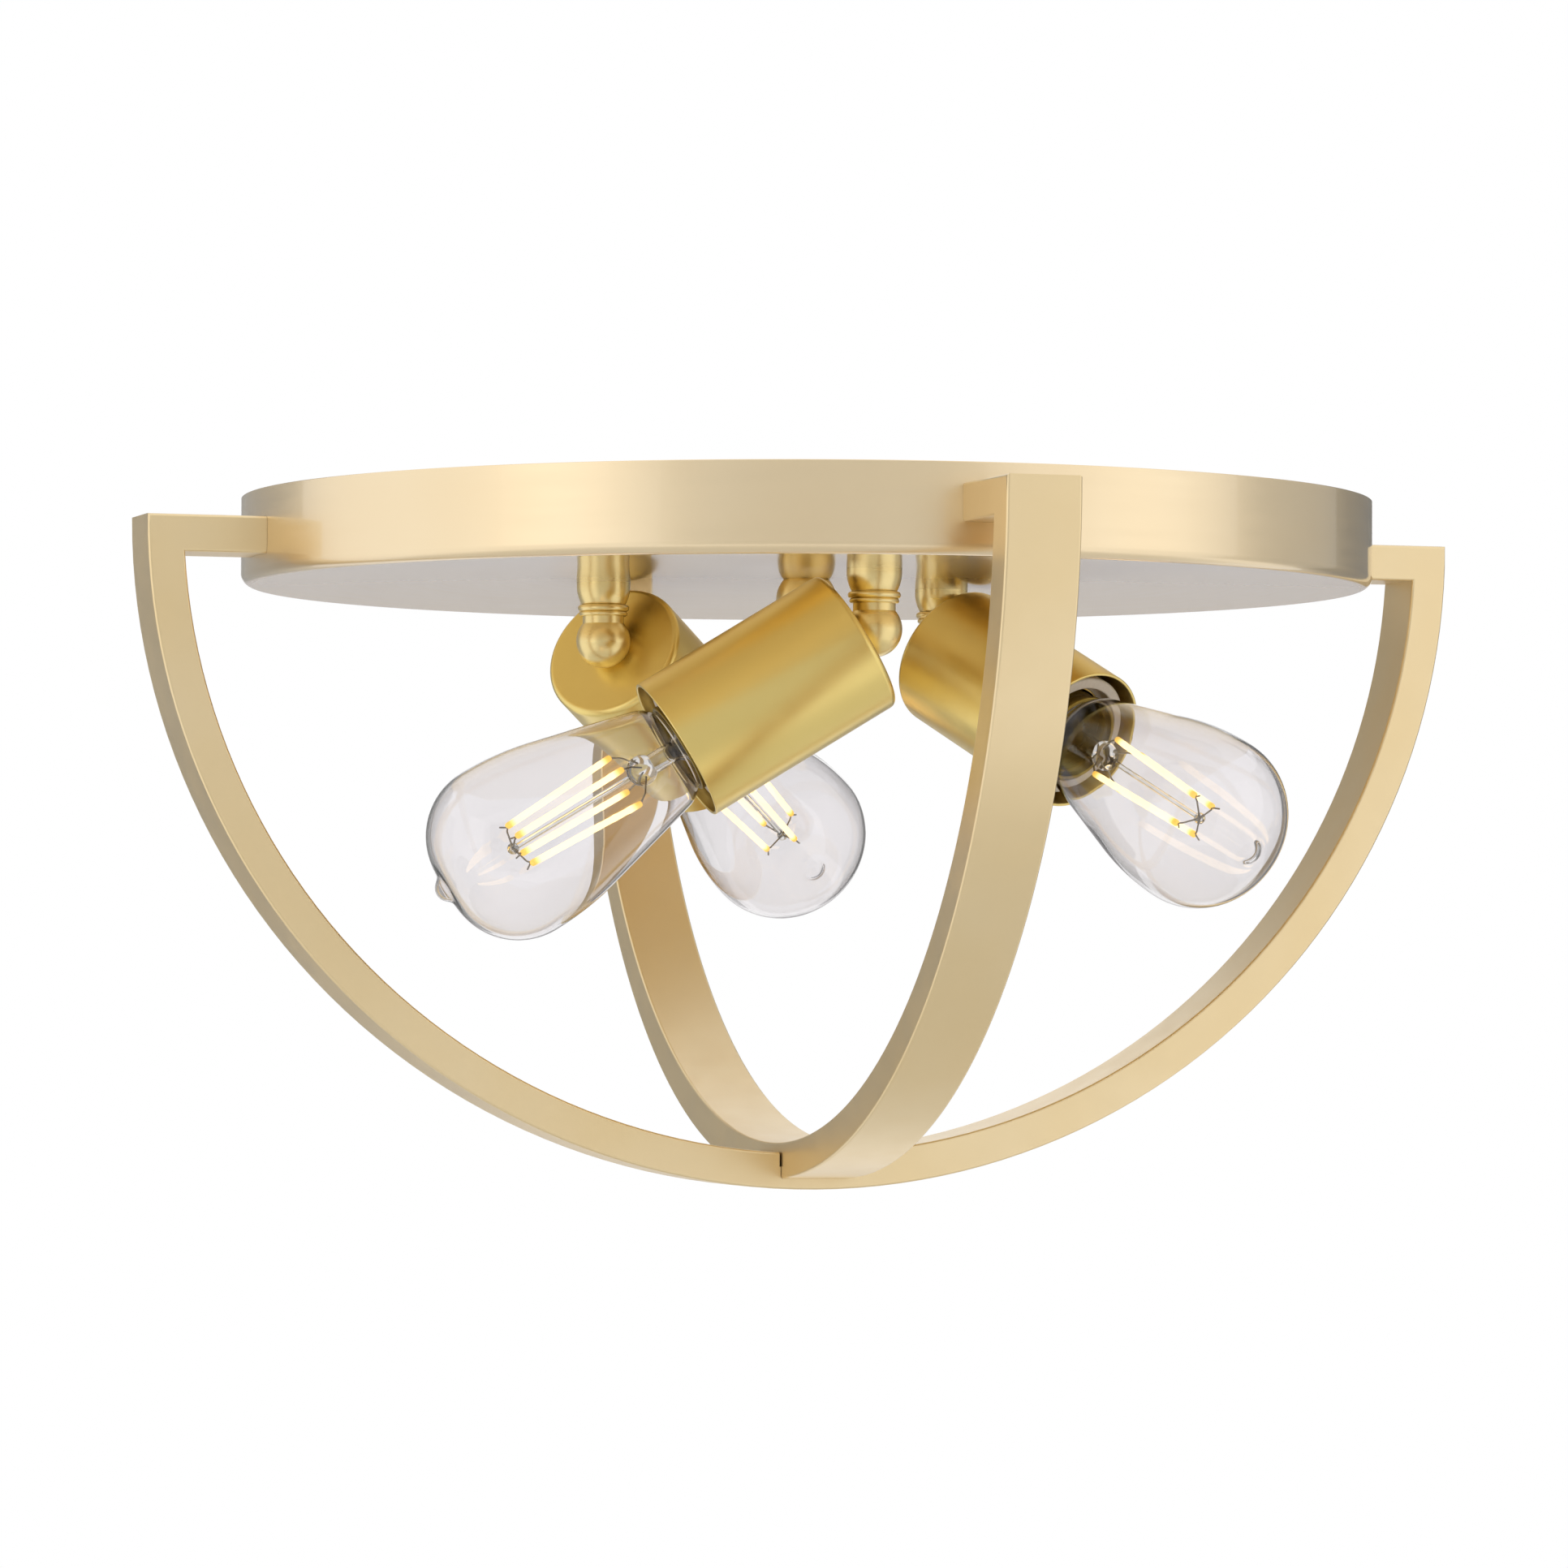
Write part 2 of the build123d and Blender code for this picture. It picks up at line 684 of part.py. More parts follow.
flare_radius = glass_neck_radius - glass_wall - press_gap
flare_end = glass_end + mount_flare_height
flare_middle = Vector(glass_end + flare_waist_rise * mount_flare_height, flare_waist_reach * flare_radius)
flare_inner_middle = flare_middle - Vector(mount_tube_wall, mount_tube_wall)
mount_bore_radius = mount_tube_radius - mount_tube_wall
press = base_face + mount_press_height
press_start = press - sqrt(mount_press_radius**2 - mount_tube_radius**2)
press_end = press + sqrt(mount_press_radius**2 - rod_radius**2)
bead = base_face + stick_end + far_bead_radius
bead_start = bead - sqrt(far_bead_radius**2 - rod_radius**2)
bead_end = bead + far_bead_radius
elbow_station = base_face + stick_start - 2 * wire_bend
stick_angles = [stick_turn + turn * 360 / stick_count for turn in range(stick_count)]

for side, lamp in lamps.items():
    with BuildPart() as glass_mount:
        with BuildSketch():
            with BuildLine():
                ThreePointArc((glass_end, flare_radius), flare_middle, (flare_end, mount_tube_radius))
                Line((flare_end, mount_tube_radius), (press_start, mount_tube_radius))
                ThreePointArc(
                    (press_start, mount_tube_radius), (press, mount_press_radius), (press_end, rod_radius)
                )
                Line((press_end, rod_radius), (bead_start, rod_radius))
                ThreePointArc((bead_start, rod_radius), (bead, far_bead_radius), (bead_end, 0))
                Polyline(
                    (bead_end, 0),
                    (press_start, 0),
                    (press_start, mount_bore_radius),
                    (flare_end, mount_bore_radius),
                )
                ThreePointArc(
                    (flare_end, mount_bore_radius),
                    flare_inner_middle,
                    (glass_end, flare_radius - mount_tube_wall),
                )
                Line((glass_end, flare_radius - mount_tube_wall), (glass_end, flare_radius))
            make_face()
        revolve(axis=Axis.X)

    with BuildPart() as filaments:
        for angle in stick_angles:
            near_end = lamp_point(base_face + stick_start, stick_near_circle, angle)
            far_end = lamp_point(base_face + stick_end, stick_far_circle, angle)
            with BuildSketch(Plane(near_end, z_dir=far_end - near_end)):
                Circle(stick_radius)
            extrude(amount=(far_end - near_end).length)

    with BuildPart() as support_wires:
        for angle in stick_angles:
            with BuildLine() as near_wire:
                FilletPolyline(
                    lamp_point(press, mount_press_radius / 2, angle),
                    lamp_point(elbow_station, wire_elbow_reach * stick_near_circle, angle),
                    lamp_point(base_face + stick_start, stick_near_circle, angle),
                    radius=wire_bend,
                )
            with BuildLine() as far_wire:
                Line(lamp_point(bead, 0, angle), lamp_point(base_face + stick_end, stick_far_circle, angle))
            for wire in (near_wire.line, far_wire.line):
                with BuildSketch(Plane(wire @ 0, z_dir=wire % 0)):
                    Circle(wire_radius)
                sweep(path=wire)
        add(filaments.part, mode=Mode.SUBTRACT)
        add(glass_mount.part, mode=Mode.SUBTRACT)

    finish(glass_mount, f"{side}_glass_mount", lamp["place"])
    finish(filaments, f"{side}_filaments", lamp["place"])
    finish(support_wires, f"{side}_support_wires", lamp["place"])
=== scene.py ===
import json
from math import atan2, cos, hypot, pi, radians, sin, sqrt, tan, tau

import bmesh
import bpy
from bpy.props import FloatProperty, FloatVectorProperty, IntProperty, PointerProperty
from mathutils import Matrix, Vector


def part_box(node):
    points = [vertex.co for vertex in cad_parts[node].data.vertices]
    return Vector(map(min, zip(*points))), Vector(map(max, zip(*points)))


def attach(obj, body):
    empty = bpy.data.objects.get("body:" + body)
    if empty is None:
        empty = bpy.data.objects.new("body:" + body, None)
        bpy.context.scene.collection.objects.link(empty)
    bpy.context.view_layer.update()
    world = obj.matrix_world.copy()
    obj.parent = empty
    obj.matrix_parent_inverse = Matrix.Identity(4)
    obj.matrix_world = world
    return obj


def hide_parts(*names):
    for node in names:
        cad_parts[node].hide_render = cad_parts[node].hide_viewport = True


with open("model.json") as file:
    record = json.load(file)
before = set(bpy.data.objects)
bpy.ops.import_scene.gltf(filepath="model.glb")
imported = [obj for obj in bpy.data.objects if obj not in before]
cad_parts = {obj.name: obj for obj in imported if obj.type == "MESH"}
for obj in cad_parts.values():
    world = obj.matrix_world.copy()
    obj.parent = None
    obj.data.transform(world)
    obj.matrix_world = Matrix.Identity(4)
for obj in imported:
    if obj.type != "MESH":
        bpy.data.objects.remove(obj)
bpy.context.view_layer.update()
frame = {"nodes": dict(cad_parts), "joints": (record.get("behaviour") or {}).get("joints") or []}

# Looks of a flush mount ceiling light: a shallow round pan, two crossed half hoops of flat bar and
# three swivelling lamps with clear filament bulbs. Metres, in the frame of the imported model.

bl_info = {
    "name": "Flush mount ceiling light",
    "version": (1, 0, 0),
    "blender": (4, 5, 0),
    "location": "View3D > Sidebar > Ceiling light",
    "description": "Builds the pan, hoops, stems, cups, lampholders and bulbs of a ceiling light",
    "category": "Object",
}

MM = 0.001
SIDES = ("left", "front", "right")
JOINTS = {joint["name"]: joint for joint in frame["joints"]}

# How smooth curves are drawn
TURN_STEPS = 128
LARGE_TURN_STEPS = 256
SMALL_TURN_STEPS = 64
HOLE_STEPS = 48
CORNER_STEPS = 5
ARC_STEPS = 20
SHARP_ANGLE = radians(35)
FLAT_FACE_WEIGHT = 80

# Small sizes that several pieces share
HOLE_PLAY = 0.25 * MM
THREAD_PLAY = 0.05 * MM
SMALL_CHAMFER = 0.4 * MM
HEXAGON_TURN = radians(60)
CUP_HOLE = 4.05 * MM
PRESS_REACH = 12.1 * MM
FAR_BEAD = 1.7 * MM

# Shape of the bulb's pip: where its hollow curve starts, in tip radii, how far the curve runs straight
# at each end, as a share of its length, and how much of a ball its tip is
PIP_SPREAD = 2.2
PIP_PULL = 0.4
PIP_CAP = radians(55)
PIP_STEPS = 14


def length(name, millimetres, description):
    """A size in the sidebar, given here in millimetres."""
    return FloatProperty(
        name=name, description=description, default=millimetres * MM, unit="LENGTH", precision=5
    )


def angle(name, degrees, description):
    """An angle in the sidebar, given here in degrees."""
    return FloatProperty(name=name, description=description, default=radians(degrees), unit="ROTATION")


def colour(name, value, description):
    """A colour in the sidebar, given here as an sRGB hex value."""
    return FloatVectorProperty(
        name=name, description=description, default=linear(value)[:3], subtype="COLOR", size=3
    )


def linear(value):
    """Linear colour of an sRGB hex value."""
    channels = [int(value[at : at + 2], 16) / 255 for at in (1, 3, 5)]
    return [c / 12.92 if c <= 0.04045 else ((c + 0.055) / 1.055) ** 2.4 for c in channels] + [1.0]


# Sizes and colours that a user would change


class LightPanSettings(bpy.types.PropertyGroup):
    """Sizes of the ceiling pan and of what hangs it."""

    wall: length("Wall", 1.0, "Thickness of the spun sheet")
    edge: length("Lower edge", 3.4, "Radius of the bend between the side and the underside")
    rim: length("Rim", 0.25, "Rounding of the sheet's edge at the ceiling")
    dome: length("Dome", 3.0, "How far the middle of the underside rises")
    plate: colour("Plate", "#F7E3BE", "Champagne gold plating")
    slot_length: length("Slot length", 21.0, "Length of the crossbar's slots for the box screws")
    slot_width: length("Slot width", 5.0, "Width of the crossbar's slots")
    slot_spacing: length("Slot spacing", 88.9, "Distance between the middles of the two slots")
    bar_corner: length("Bar corner", 2.5, "Rounding of the crossbar's corners")
    bar_edge: length("Bar edge", 0.3, "Rounding of the crossbar's edges")
    thread_pitch: length("Nipple pitch", 1.0, "Pitch of the nipple's thread")
    thread_depth: length("Nipple thread", 0.45, "Depth of the nipple's thread")


class LightHoopSettings(bpy.types.PropertyGroup):
    """Sizes of the two half hoops and of their screws."""

    depth: length("Depth", 10.8, "Depth of the bar, towards the middle of the hoop")
    edge: length("Edge", 0.8, "Rounding of the bar's long edges")
    lap_gap: length("Lap gap", 0.5, "Gap on each side of the bar in a half lap")
    butt_gap: length("Butt gap", 0.05, "Gap between an arm's end and the pan")
    screw_spacing: length("Screw spacing", 11.0, "Distance between the two screws of an arm")
    screw_radius: length("Screw radius", 1.95, "Radius of the screw's shank")
    head_radius: length("Head radius", 3.5, "Radius of the screw's head")
    plate: colour("Plate", "#F2DDB4", "Champagne gold plating")


class LightStemSettings(bpy.types.PropertyGroup):
    """Sizes of the collars, swivel balls, nuts and washers."""

    waist: length("Collar waist", 6.6, "Radius at the collar's lower end")
    land: length("Collar land", 1.3, "Height of the collar's straight band")
    shank: length("Shank", 4.95, "Radius of the ball's shank")
    bore: length("Bore", 3.2, "Radius of the wire hole through the shank")
    neck: length("Neck", 6.2, "Radius between the bead and the ball")
    bead: length("Bead", 7.7, "Radius of the bead")
    bead_height: length("Bead height", 3.4, "Height of the two rings of the bead together")
    groove: length("Groove", 6.8, "Radius between the two rings of the bead")
    flat: length("Flat", 5.9, "Distance from the middle of the ball to the flat that carries the cup")
    rub: length("Running gap", 0.1, "Gap between the collar and the bead")
    plate: colour("Plate", "#F6E0A2", "Satin gold plating of the turned brass")


class LightCupSettings(bpy.types.PropertyGroup):
    """Sizes of the lamp cups."""

    wall: length("Wall", 0.9, "Thickness of the drawn brass")
    edge: length("Edge", 1.9, "Radius of the bend between the side and the floor")
    rim: length("Rim", 0.35, "Rounding of the mouth's edge")
    plate: colour("Plate", "#F3DC8E", "Satin gold plating of the drawn brass")


class LightHolderSettings(bpy.types.PropertyGroup):
    """Sizes of the ceramic lampholders and their contacts."""

    mouth: length("Mouth", 15.45, "Radius of the recess at the mouth")
    chamfer: length("Chamfer", 0.8, "Rounding of the ceramic's edges")
    shell_wall: length("Shell wall", 0.4, "Thickness of the brass screw shell")
    back: length("Back", 4.0, "Thickness of the ceramic's back")
    floor: length("Floor", 5.0, "Thickness of the ceramic behind the screw shell")
    pitch: length("Pitch", 3.629, "Pitch of the lamp thread, seven turns to the inch")
    depth: length("Thread depth", 0.7, "Depth of the lamp thread")


class LightBulbSettings(bpy.types.PropertyGroup):
    """Sizes of the bulb."""

    root: length("Base root", 12.3, "Radius of the base between the threads")
    flange: length("Flange", 1.5, "Height of the flange that holds the glass")
    taper: length("Taper", 2.5, "Height of the taper at the base's lower end")
    glass_wall: length("Glass wall", 0.7, "Thickness of the glass")
    neck_bend: length("Neck bend", 1.5, "Radius of the bend where the glass leaves the base")
    shoulder_bend: length("Shoulder bend", 9.4, "Radius of the bend above the neck")
    belly_bend: length("Belly bend", 88.0, "Radius of the bend into the widest part")
    crown_bend: length("Crown bend", 21.0, "Radius of the round end")
    flare: angle("Flare", 50.0, "Steepest slope of the neck")
    flank: angle("Flank", 14.3, "Slope of the long straight side")
    pip: length("Pip", 4.0, "Radius of the sealed tip")
    stick_count: IntProperty(name="Sticks", description="Number of filament sticks", default=4, min=1)
    stick_turn: angle("Stick turn", 23.6, "Where the first stick stands round the bulb")
    stick_radius: length("Stick radius", 1.0, "Radius of a filament stick")
    near_circle: length("Near circle", 8.6, "Distance of the sticks from the axis, near the base")
    far_circle: length("Far circle", 6.8, "Distance of the sticks from the axis, near the tip")
    glow: FloatProperty(name="Glow", description="Brightness of the lit sticks", default=2.2, min=0.0)


class LightStageSettings(bpy.types.PropertyGroup):
    """Camera and floor."""

    camera_yaw: angle("Camera yaw", -18.2687, "Turn of the camera about the light")
    camera_rise: angle("Camera rise", -1.7372, "Height angle of the camera")
    camera_roll: angle("Camera roll", -0.1837, "Turn of the camera about its own axis")
    camera_distance: length("Camera distance", 1964.28, "Distance from the camera to its target")
    focal_length: FloatProperty(
        name="Focal length", description="Lens of the camera on a 36 mm sensor", default=151.32,
        unit="CAMERA",
    )
    target: FloatVectorProperty(
        name="Target", description="Point that the camera looks at", default=(-0.00682, 0.0, -0.08383),
        subtype="TRANSLATION", size=3,
    )
    floor_drop: length("Floor drop", 3000.0, "Distance from the ceiling down to the floor")
    floor_radius: length("Floor radius", 3400.0, "Radius of the round floor")


# Nodes and materials


def add_node(tree, kind, inputs=None, **settings):
    """Add one node, set its settings, and fill its inputs with values or links."""
    node = tree.nodes.new(kind)
    for name, value in settings.items():
        setattr(node, name, value)
    for socket, value in (inputs or {}).items():
        if isinstance(value, bpy.types.NodeSocket):
            tree.links.new(value, node.inputs[socket])
        else:
            node.inputs[socket].default_value = value
    return node


def new_surface(name, **constants):
    """A material with its shader, whose sockets named here keep one value all over."""
    material = bpy.data.materials.new(name)
    material.use_nodes = True
    tree = material.node_tree
    shader = tree.nodes["Principled BSDF"]
    for socket, value in constants.items():
        shader.inputs[socket.replace("_", " ")].default_value = value
    return material, tree, shader


def satin_plate(name, plate, shade, roughness, grain, marks, lacquer, gloss, relief, spun=False):
    """Gold plating over brushed or spun metal, under a clear satin lacquer.

    The eye gets a soft broad highlight, a colour that drifts a little over a hand's width, a fine
    grain from the blasting before the plating, and faint marks that follow the way it was worked:
    round the middle where the piece was spun.
    """
    material, tree, shader = new_surface(name, Metallic=1.0, Coat_Weight=lacquer, Coat_Roughness=gloss)
    place = add_node(tree, "ShaderNodeTexCoord").outputs["Object"]
    drift = add_node(tree, "ShaderNodeTexNoise", {"Vector": place, "Scale": 1 / (45 * MM), "Detail": 2.0})
    tint = add_node(
        tree, "ShaderNodeMix", {"Factor": drift.outputs["Fac"], 6: plate, 7: shade}, data_type="RGBA"
    )
    along = place
    if spun:
        flat = add_node(
            tree, "ShaderNodeVectorMath", {0: place, 1: (1.0, 1.0, 0.0)}, operation="MULTIPLY"
        ).outputs["Vector"]
        radius = add_node(tree, "ShaderNodeVectorMath", {0: flat}, operation="LENGTH").outputs["Value"]
        parts = add_node(tree, "ShaderNodeSeparateXYZ", {"Vector": place}).outputs
        across = add_node(tree, "ShaderNodeMath", {0: radius, 1: parts["Z"]}, operation="ADD")
        along = add_node(
            tree, "ShaderNodeCombineXYZ", {"X": parts["X"], "Y": parts["Y"], "Z": across.outputs["Value"]}
        ).outputs["Vector"]
    stretch = add_node(tree, "ShaderNodeMapping", {"Vector": along, "Scale": marks})
    worked = add_node(
        tree, "ShaderNodeTexNoise", {"Vector": stretch.outputs["Vector"], "Scale": 1.0, "Detail": 3.0}
    )
    rough = add_node(
        tree,
        "ShaderNodeMapRange",
        {
            "Value": worked.outputs["Fac"],
            "From Min": 0.3,
            "From Max": 0.7,
            "To Min": roughness - 0.03,
            "To Max": roughness + 0.03,
        },
    )
    blasted = add_node(tree, "ShaderNodeTexNoise", {"Vector": place, "Scale": 1 / grain, "Detail": 1.0})
    height = add_node(
        tree,
        "ShaderNodeMath",
        {0: blasted.outputs["Fac"], 1: worked.outputs["Fac"]},
        operation="ADD",
    )
    bump = add_node(
        tree, "ShaderNodeBump", {"Height": height.outputs["Value"], "Strength": 0.2, "Distance": relief}
    )
    tree.links.new(tint.outputs[2], shader.inputs["Base Color"])
    tree.links.new(rough.outputs["Result"], shader.inputs["Roughness"])
    tree.links.new(bump.outputs["Normal"], shader.inputs["Normal"])
    return material


def spun_pan_plate():
    """Spun steel, plated: the spinning leaves faint rings, up the side and round the underside."""
    plate = [*bpy.context.scene.light_pan.plate, 1.0]
    marks = (1 / (45 * MM), 1 / (45 * MM), 1 / (2.5 * MM))
    return satin_plate(
        "spun_steel_champagne_plate", plate, linear("#F2DAB0"), 0.33, 0.7 * MM, marks, 1.0, 0.06,
        0.012 * MM, spun=True,
    )


def bent_bar_plate():
    """Bent aluminium bar, plated: an even blasted face with soft bright edges."""
    plate = [*bpy.context.scene.light_hoop.plate, 1.0]
    marks = (1 / (9 * MM), 1 / (9 * MM), 1 / (9 * MM))
    return satin_plate(
        "bent_aluminium_champagne_plate", plate, linear("#EDD3A0"), 0.35, 0.7 * MM, marks, 0.3, 0.25,
        0.005 * MM,
    )


def turned_stem_plate():
    """Turned brass, plated: tool rings a third of a millimetre apart, soft under the plating."""
    plate = [*bpy.context.scene.light_stem.plate, 1.0]
    marks = (1 / (20 * MM), 1 / (20 * MM), 1 / (0.6 * MM))
    return satin_plate(
        "turned_brass_satin_plate", plate, linear("#F0D794"), 0.3, 0.5 * MM, marks, 0.3, 0.25, 0.001 * MM
    )


def drawn_cup_plate():
    """Drawn brass tube, plated: smoother than the bars, so its highlight is a clear long band."""
    plate = [*bpy.context.scene.light_cup.plate, 1.0]
    marks = (1 / (7 * MM), 1 / (7 * MM), 1 / (7 * MM))
    return satin_plate(
        "drawn_brass_satin_plate", plate, linear("#EDD27E"), 0.31, 0.6 * MM, marks, 0.3, 0.3, 0.003 * MM
    )


def mottled(name, light, dark, spot, smooth, coarse, relief, **constants):
    """A surface with two close colours in spots, and an uneven gloss and height of the same size."""
    material, tree, shader = new_surface(name, **constants)
    place = add_node(tree, "ShaderNodeTexCoord").outputs["Object"]
    spots = add_node(tree, "ShaderNodeTexNoise", {"Vector": place, "Scale": 1 / spot, "Detail": 4.0})
    tint = add_node(
        tree,
        "ShaderNodeMix",
        {"Factor": spots.outputs["Fac"], 6: linear(light), 7: linear(dark)},
        data_type="RGBA",
    )
    rough = add_node(
        tree, "ShaderNodeMapRange", {"Value": spots.outputs["Fac"], "To Min": smooth, "To Max": coarse}
    )
    bump = add_node(
        tree, "ShaderNodeBump", {"Height": spots.outputs["Fac"], "Strength": 0.3, "Distance": relief}
    )
    tree.links.new(tint.outputs[2], shader.inputs["Base Color"])
    tree.links.new(rough.outputs["Result"], shader.inputs["Roughness"])
    tree.links.new(bump.outputs["Normal"], shader.inputs["Normal"])
    return material


def zinc_steel():
    """Zinc plated steel: grey with a cool bloom, duller where it was handled."""
    return mottled(
        "zinc_plated_steel", "#C9CBCC", "#A9ACAE", 3 * MM, 0.25, 0.42, 0.01 * MM, Metallic=1.0
    )


def green_steel():
    """Steel screw dyed green, as ground screws are: a thin colour over metal."""
    return mottled("green_dyed_steel", "#2F7A45", "#225E35", 2 * MM, 0.3, 0.45, 0.01 * MM, Metallic=0.6)


def steatite():
    """Pressed and fired steatite, unglazed: a matte cream with a slight tooth."""
    return mottled("pressed_steatite", "#EFE4D4", "#E0D2BE", 1.2 * MM, 0.5, 0.66, 0.02 * MM, IOR=1.6)


def rolled_brass():
    """Brass sheet rolled to a thread: bright on the crests, brown where flux and heat marked it."""
    return mottled("rolled_brass_sheet", "#C9A860", "#9A7B3D", 2.5 * MM, 0.24, 0.4, 0.01 * MM, Metallic=1.0)


def dull_brass():
    """The bulb's brass base, dulled by the cement and heat of its making."""
    return mottled("dulled_brass_base", "#B3994F", "#7E6B2E", 3 * MM, 0.3, 0.48, 0.01 * MM, Metallic=1.0)


def solder():
    """Tin solder, set in a low dome: pale grey with a soft skin."""
    return mottled("tin_solder", "#BFC0BE", "#9D9F9E", 1 * MM, 0.35, 0.5, 0.03 * MM, Metallic=1.0)


def vitrite():
    """Black vitrite glass, poured round the contact: near black, glossy, slightly wavy."""
    return mottled("poured_black_vitrite", "#101114", "#1B1C20", 2 * MM, 0.08, 0.16, 0.02 * MM, IOR=1.55)


def nickel_wire():
    """Drawn nickel wire: bright, with darker heat marks near the welds."""
    return mottled("drawn_nickel_wire", "#B9B4A8", "#6F665A", 1.5 * MM, 0.25, 0.4, 0.005 * MM, Metallic=1.0)


def clear_glass(name, light, dark, wave, relief):
    """Clear soda glass, blown or drawn: barely grey, with slow waves that bend what is behind it."""
    material, tree, shader = new_surface(name, Transmission_Weight=1.0, IOR=1.5, Roughness=0.0)
    place = add_node(tree, "ShaderNodeTexCoord").outputs["Object"]
    waves = add_node(tree, "ShaderNodeTexNoise", {"Vector": place, "Scale": 1 / wave, "Detail": 0.0})
    bump = add_node(
        tree, "ShaderNodeBump", {"Height": waves.outputs["Fac"], "Strength": 1.0, "Distance": relief}
    )
    body = add_node(
        tree,
        "ShaderNodeMix",
        {"Factor": waves.outputs["Fac"], 6: linear(light), 7: linear(dark)},
        data_type="RGBA",
    )
    tree.links.new(body.outputs[2], shader.inputs["Base Color"])
    tree.links.new(bump.outputs["Normal"], shader.inputs["Normal"])
    return material


def blown_glass():
    """The bulb's blown glass."""
    return clear_glass("blown_soda_glass", "#F9F7F8", "#F1EFF0", 22 * MM, 0.25 * MM)


def stem_glass():
    """The glass of the mount, drawn and pinched while hot."""
    return clear_glass("pinched_stem_glass", "#FFFFFF", "#E9EDE8", 3 * MM, 0.12 * MM)


def lit_phosphor():
    """Silicone with yellow phosphor over lit diodes: white hot along its length, yellow at its ends."""
    material, tree, shader = new_surface("lit_phosphor_silicone", Roughness=0.45)
    along = add_node(tree, "ShaderNodeAttribute", attribute_name="along").outputs["Fac"]
    middle = add_node(tree, "ShaderNodeMath", {0: along, 1: 0.5}, operation="SUBTRACT")
    outward = add_node(tree, "ShaderNodeMath", {0: middle.outputs["Value"]}, operation="ABSOLUTE")
    ends = add_node(
        tree,
        "ShaderNodeMapRange",
        {"Value": outward.outputs["Value"], "From Min": 0.40, "From Max": 0.47},
        interpolation_type="SMOOTHSTEP",
    )
    place = add_node(tree, "ShaderNodeTexCoord").outputs["Object"]
    lumps = add_node(tree, "ShaderNodeTexNoise", {"Vector": place, "Scale": 1 / (1.4 * MM)})
    bump = add_node(
        tree, "ShaderNodeBump", {"Height": lumps.outputs["Fac"], "Strength": 0.4, "Distance": 0.1 * MM}
    )
    skin = add_node(
        tree,
        "ShaderNodeMix",
        {"Factor": ends.outputs["Result"], 6: linear("#FFE9A8"), 7: linear("#F5CF58")},
        data_type="RGBA",
    )
    light = add_node(
        tree,
        "ShaderNodeMix",
        {"Factor": ends.outputs["Result"], 6: linear("#FFDCA2"), 7: linear("#FFCB5C")},
        data_type="RGBA",
    )
    strength = add_node(
        tree,
        "ShaderNodeMapRange",
        {"Value": ends.outputs["Result"], "To Min": bpy.context.scene.light_bulb.glow, "To Max": 0.9},
    )
    tree.links.new(skin.outputs[2], shader.inputs["Base Color"])
    tree.links.new(light.outputs[2], shader.inputs["Emission Color"])
    tree.links.new(strength.outputs["Result"], shader.inputs["Emission Strength"])
    tree.links.new(bump.outputs["Normal"], shader.inputs["Normal"])
    return material


FINISHES = {
    "pan_plate": spun_pan_plate,
    "hoop_plate": bent_bar_plate,
    "turned_plate": turned_stem_plate,
    "cup_plate": drawn_cup_plate,
    "zinc_steel": zinc_steel,
    "ground_green": green_steel,
    "cream_ceramic": steatite,
    "contact_brass": rolled_brass,
    "bulb_brass": dull_brass,
    "solder": solder,
    "black_glass": vitrite,
    "clear_glass": blown_glass,
    "stem_glass": stem_glass,
    "led_stick": lit_phosphor,
    "bright_wire": nickel_wire,
}
made = {}


def finish_of(slot):
    """The material of a slot of the record, made when it is first asked for."""
    if slot not in made:
        made[slot] = FINISHES[slot]()
    return made[slot]


# Meshes


def new_piece(name, mesh):
    """An object for this mesh, at the origin."""
    piece = bpy.data.objects.new(name, mesh)
    bpy.context.scene.collection.objects.link(piece)
    return piece


def from_bmesh(name, shape):
    """A piece from a bmesh, with its faces pointing out."""
    bmesh.ops.recalc_face_normals(shape, faces=shape.faces)
    mesh = bpy.data.meshes.new(name)
    shape.to_mesh(mesh)
    shape.free()
    return new_piece(name, mesh)


def plain(piece):
    """Turn a piece with modifiers into a plain mesh."""
    depsgraph = bpy.context.evaluated_depsgraph_get()
    mesh = bpy.data.meshes.new_from_object(
        piece.evaluated_get(depsgraph), preserve_all_data_layers=True, depsgraph=depsgraph
    )
    piece.modifiers.clear()
    piece.data = mesh
    return piece


def cut(piece, *cutters):
    """Cut these bodies out of a piece."""
    for cutter in cutters:
        knife = piece.modifiers.new("cut", "BOOLEAN")
        knife.object = cutter
        knife.solver = "EXACT"
    plain(piece)
    for cutter in cutters:
        bpy.data.objects.remove(cutter)
    return piece


def smooth(piece):
    """Shade a piece smooth up to its sharp edges, and keep its flat faces flat."""
    for polygon in piece.data.polygons:
        polygon.use_smooth = True
    piece.data.set_sharp_from_angle(angle=SHARP_ANGLE)
    weights = piece.modifiers.new("flat faces stay flat", "WEIGHTED_NORMAL")
    weights.keep_sharp = True
    weights.weight = FLAT_FACE_WEIGHT
    return plain(piece)


def seat(piece, slot, body, *nodes):
    """Give a finished piece its material, its body and the nodes that it stands for."""
    piece.data.materials.clear()
    piece.data.materials.append(finish_of(slot))
    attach(piece, body)
    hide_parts(*nodes)


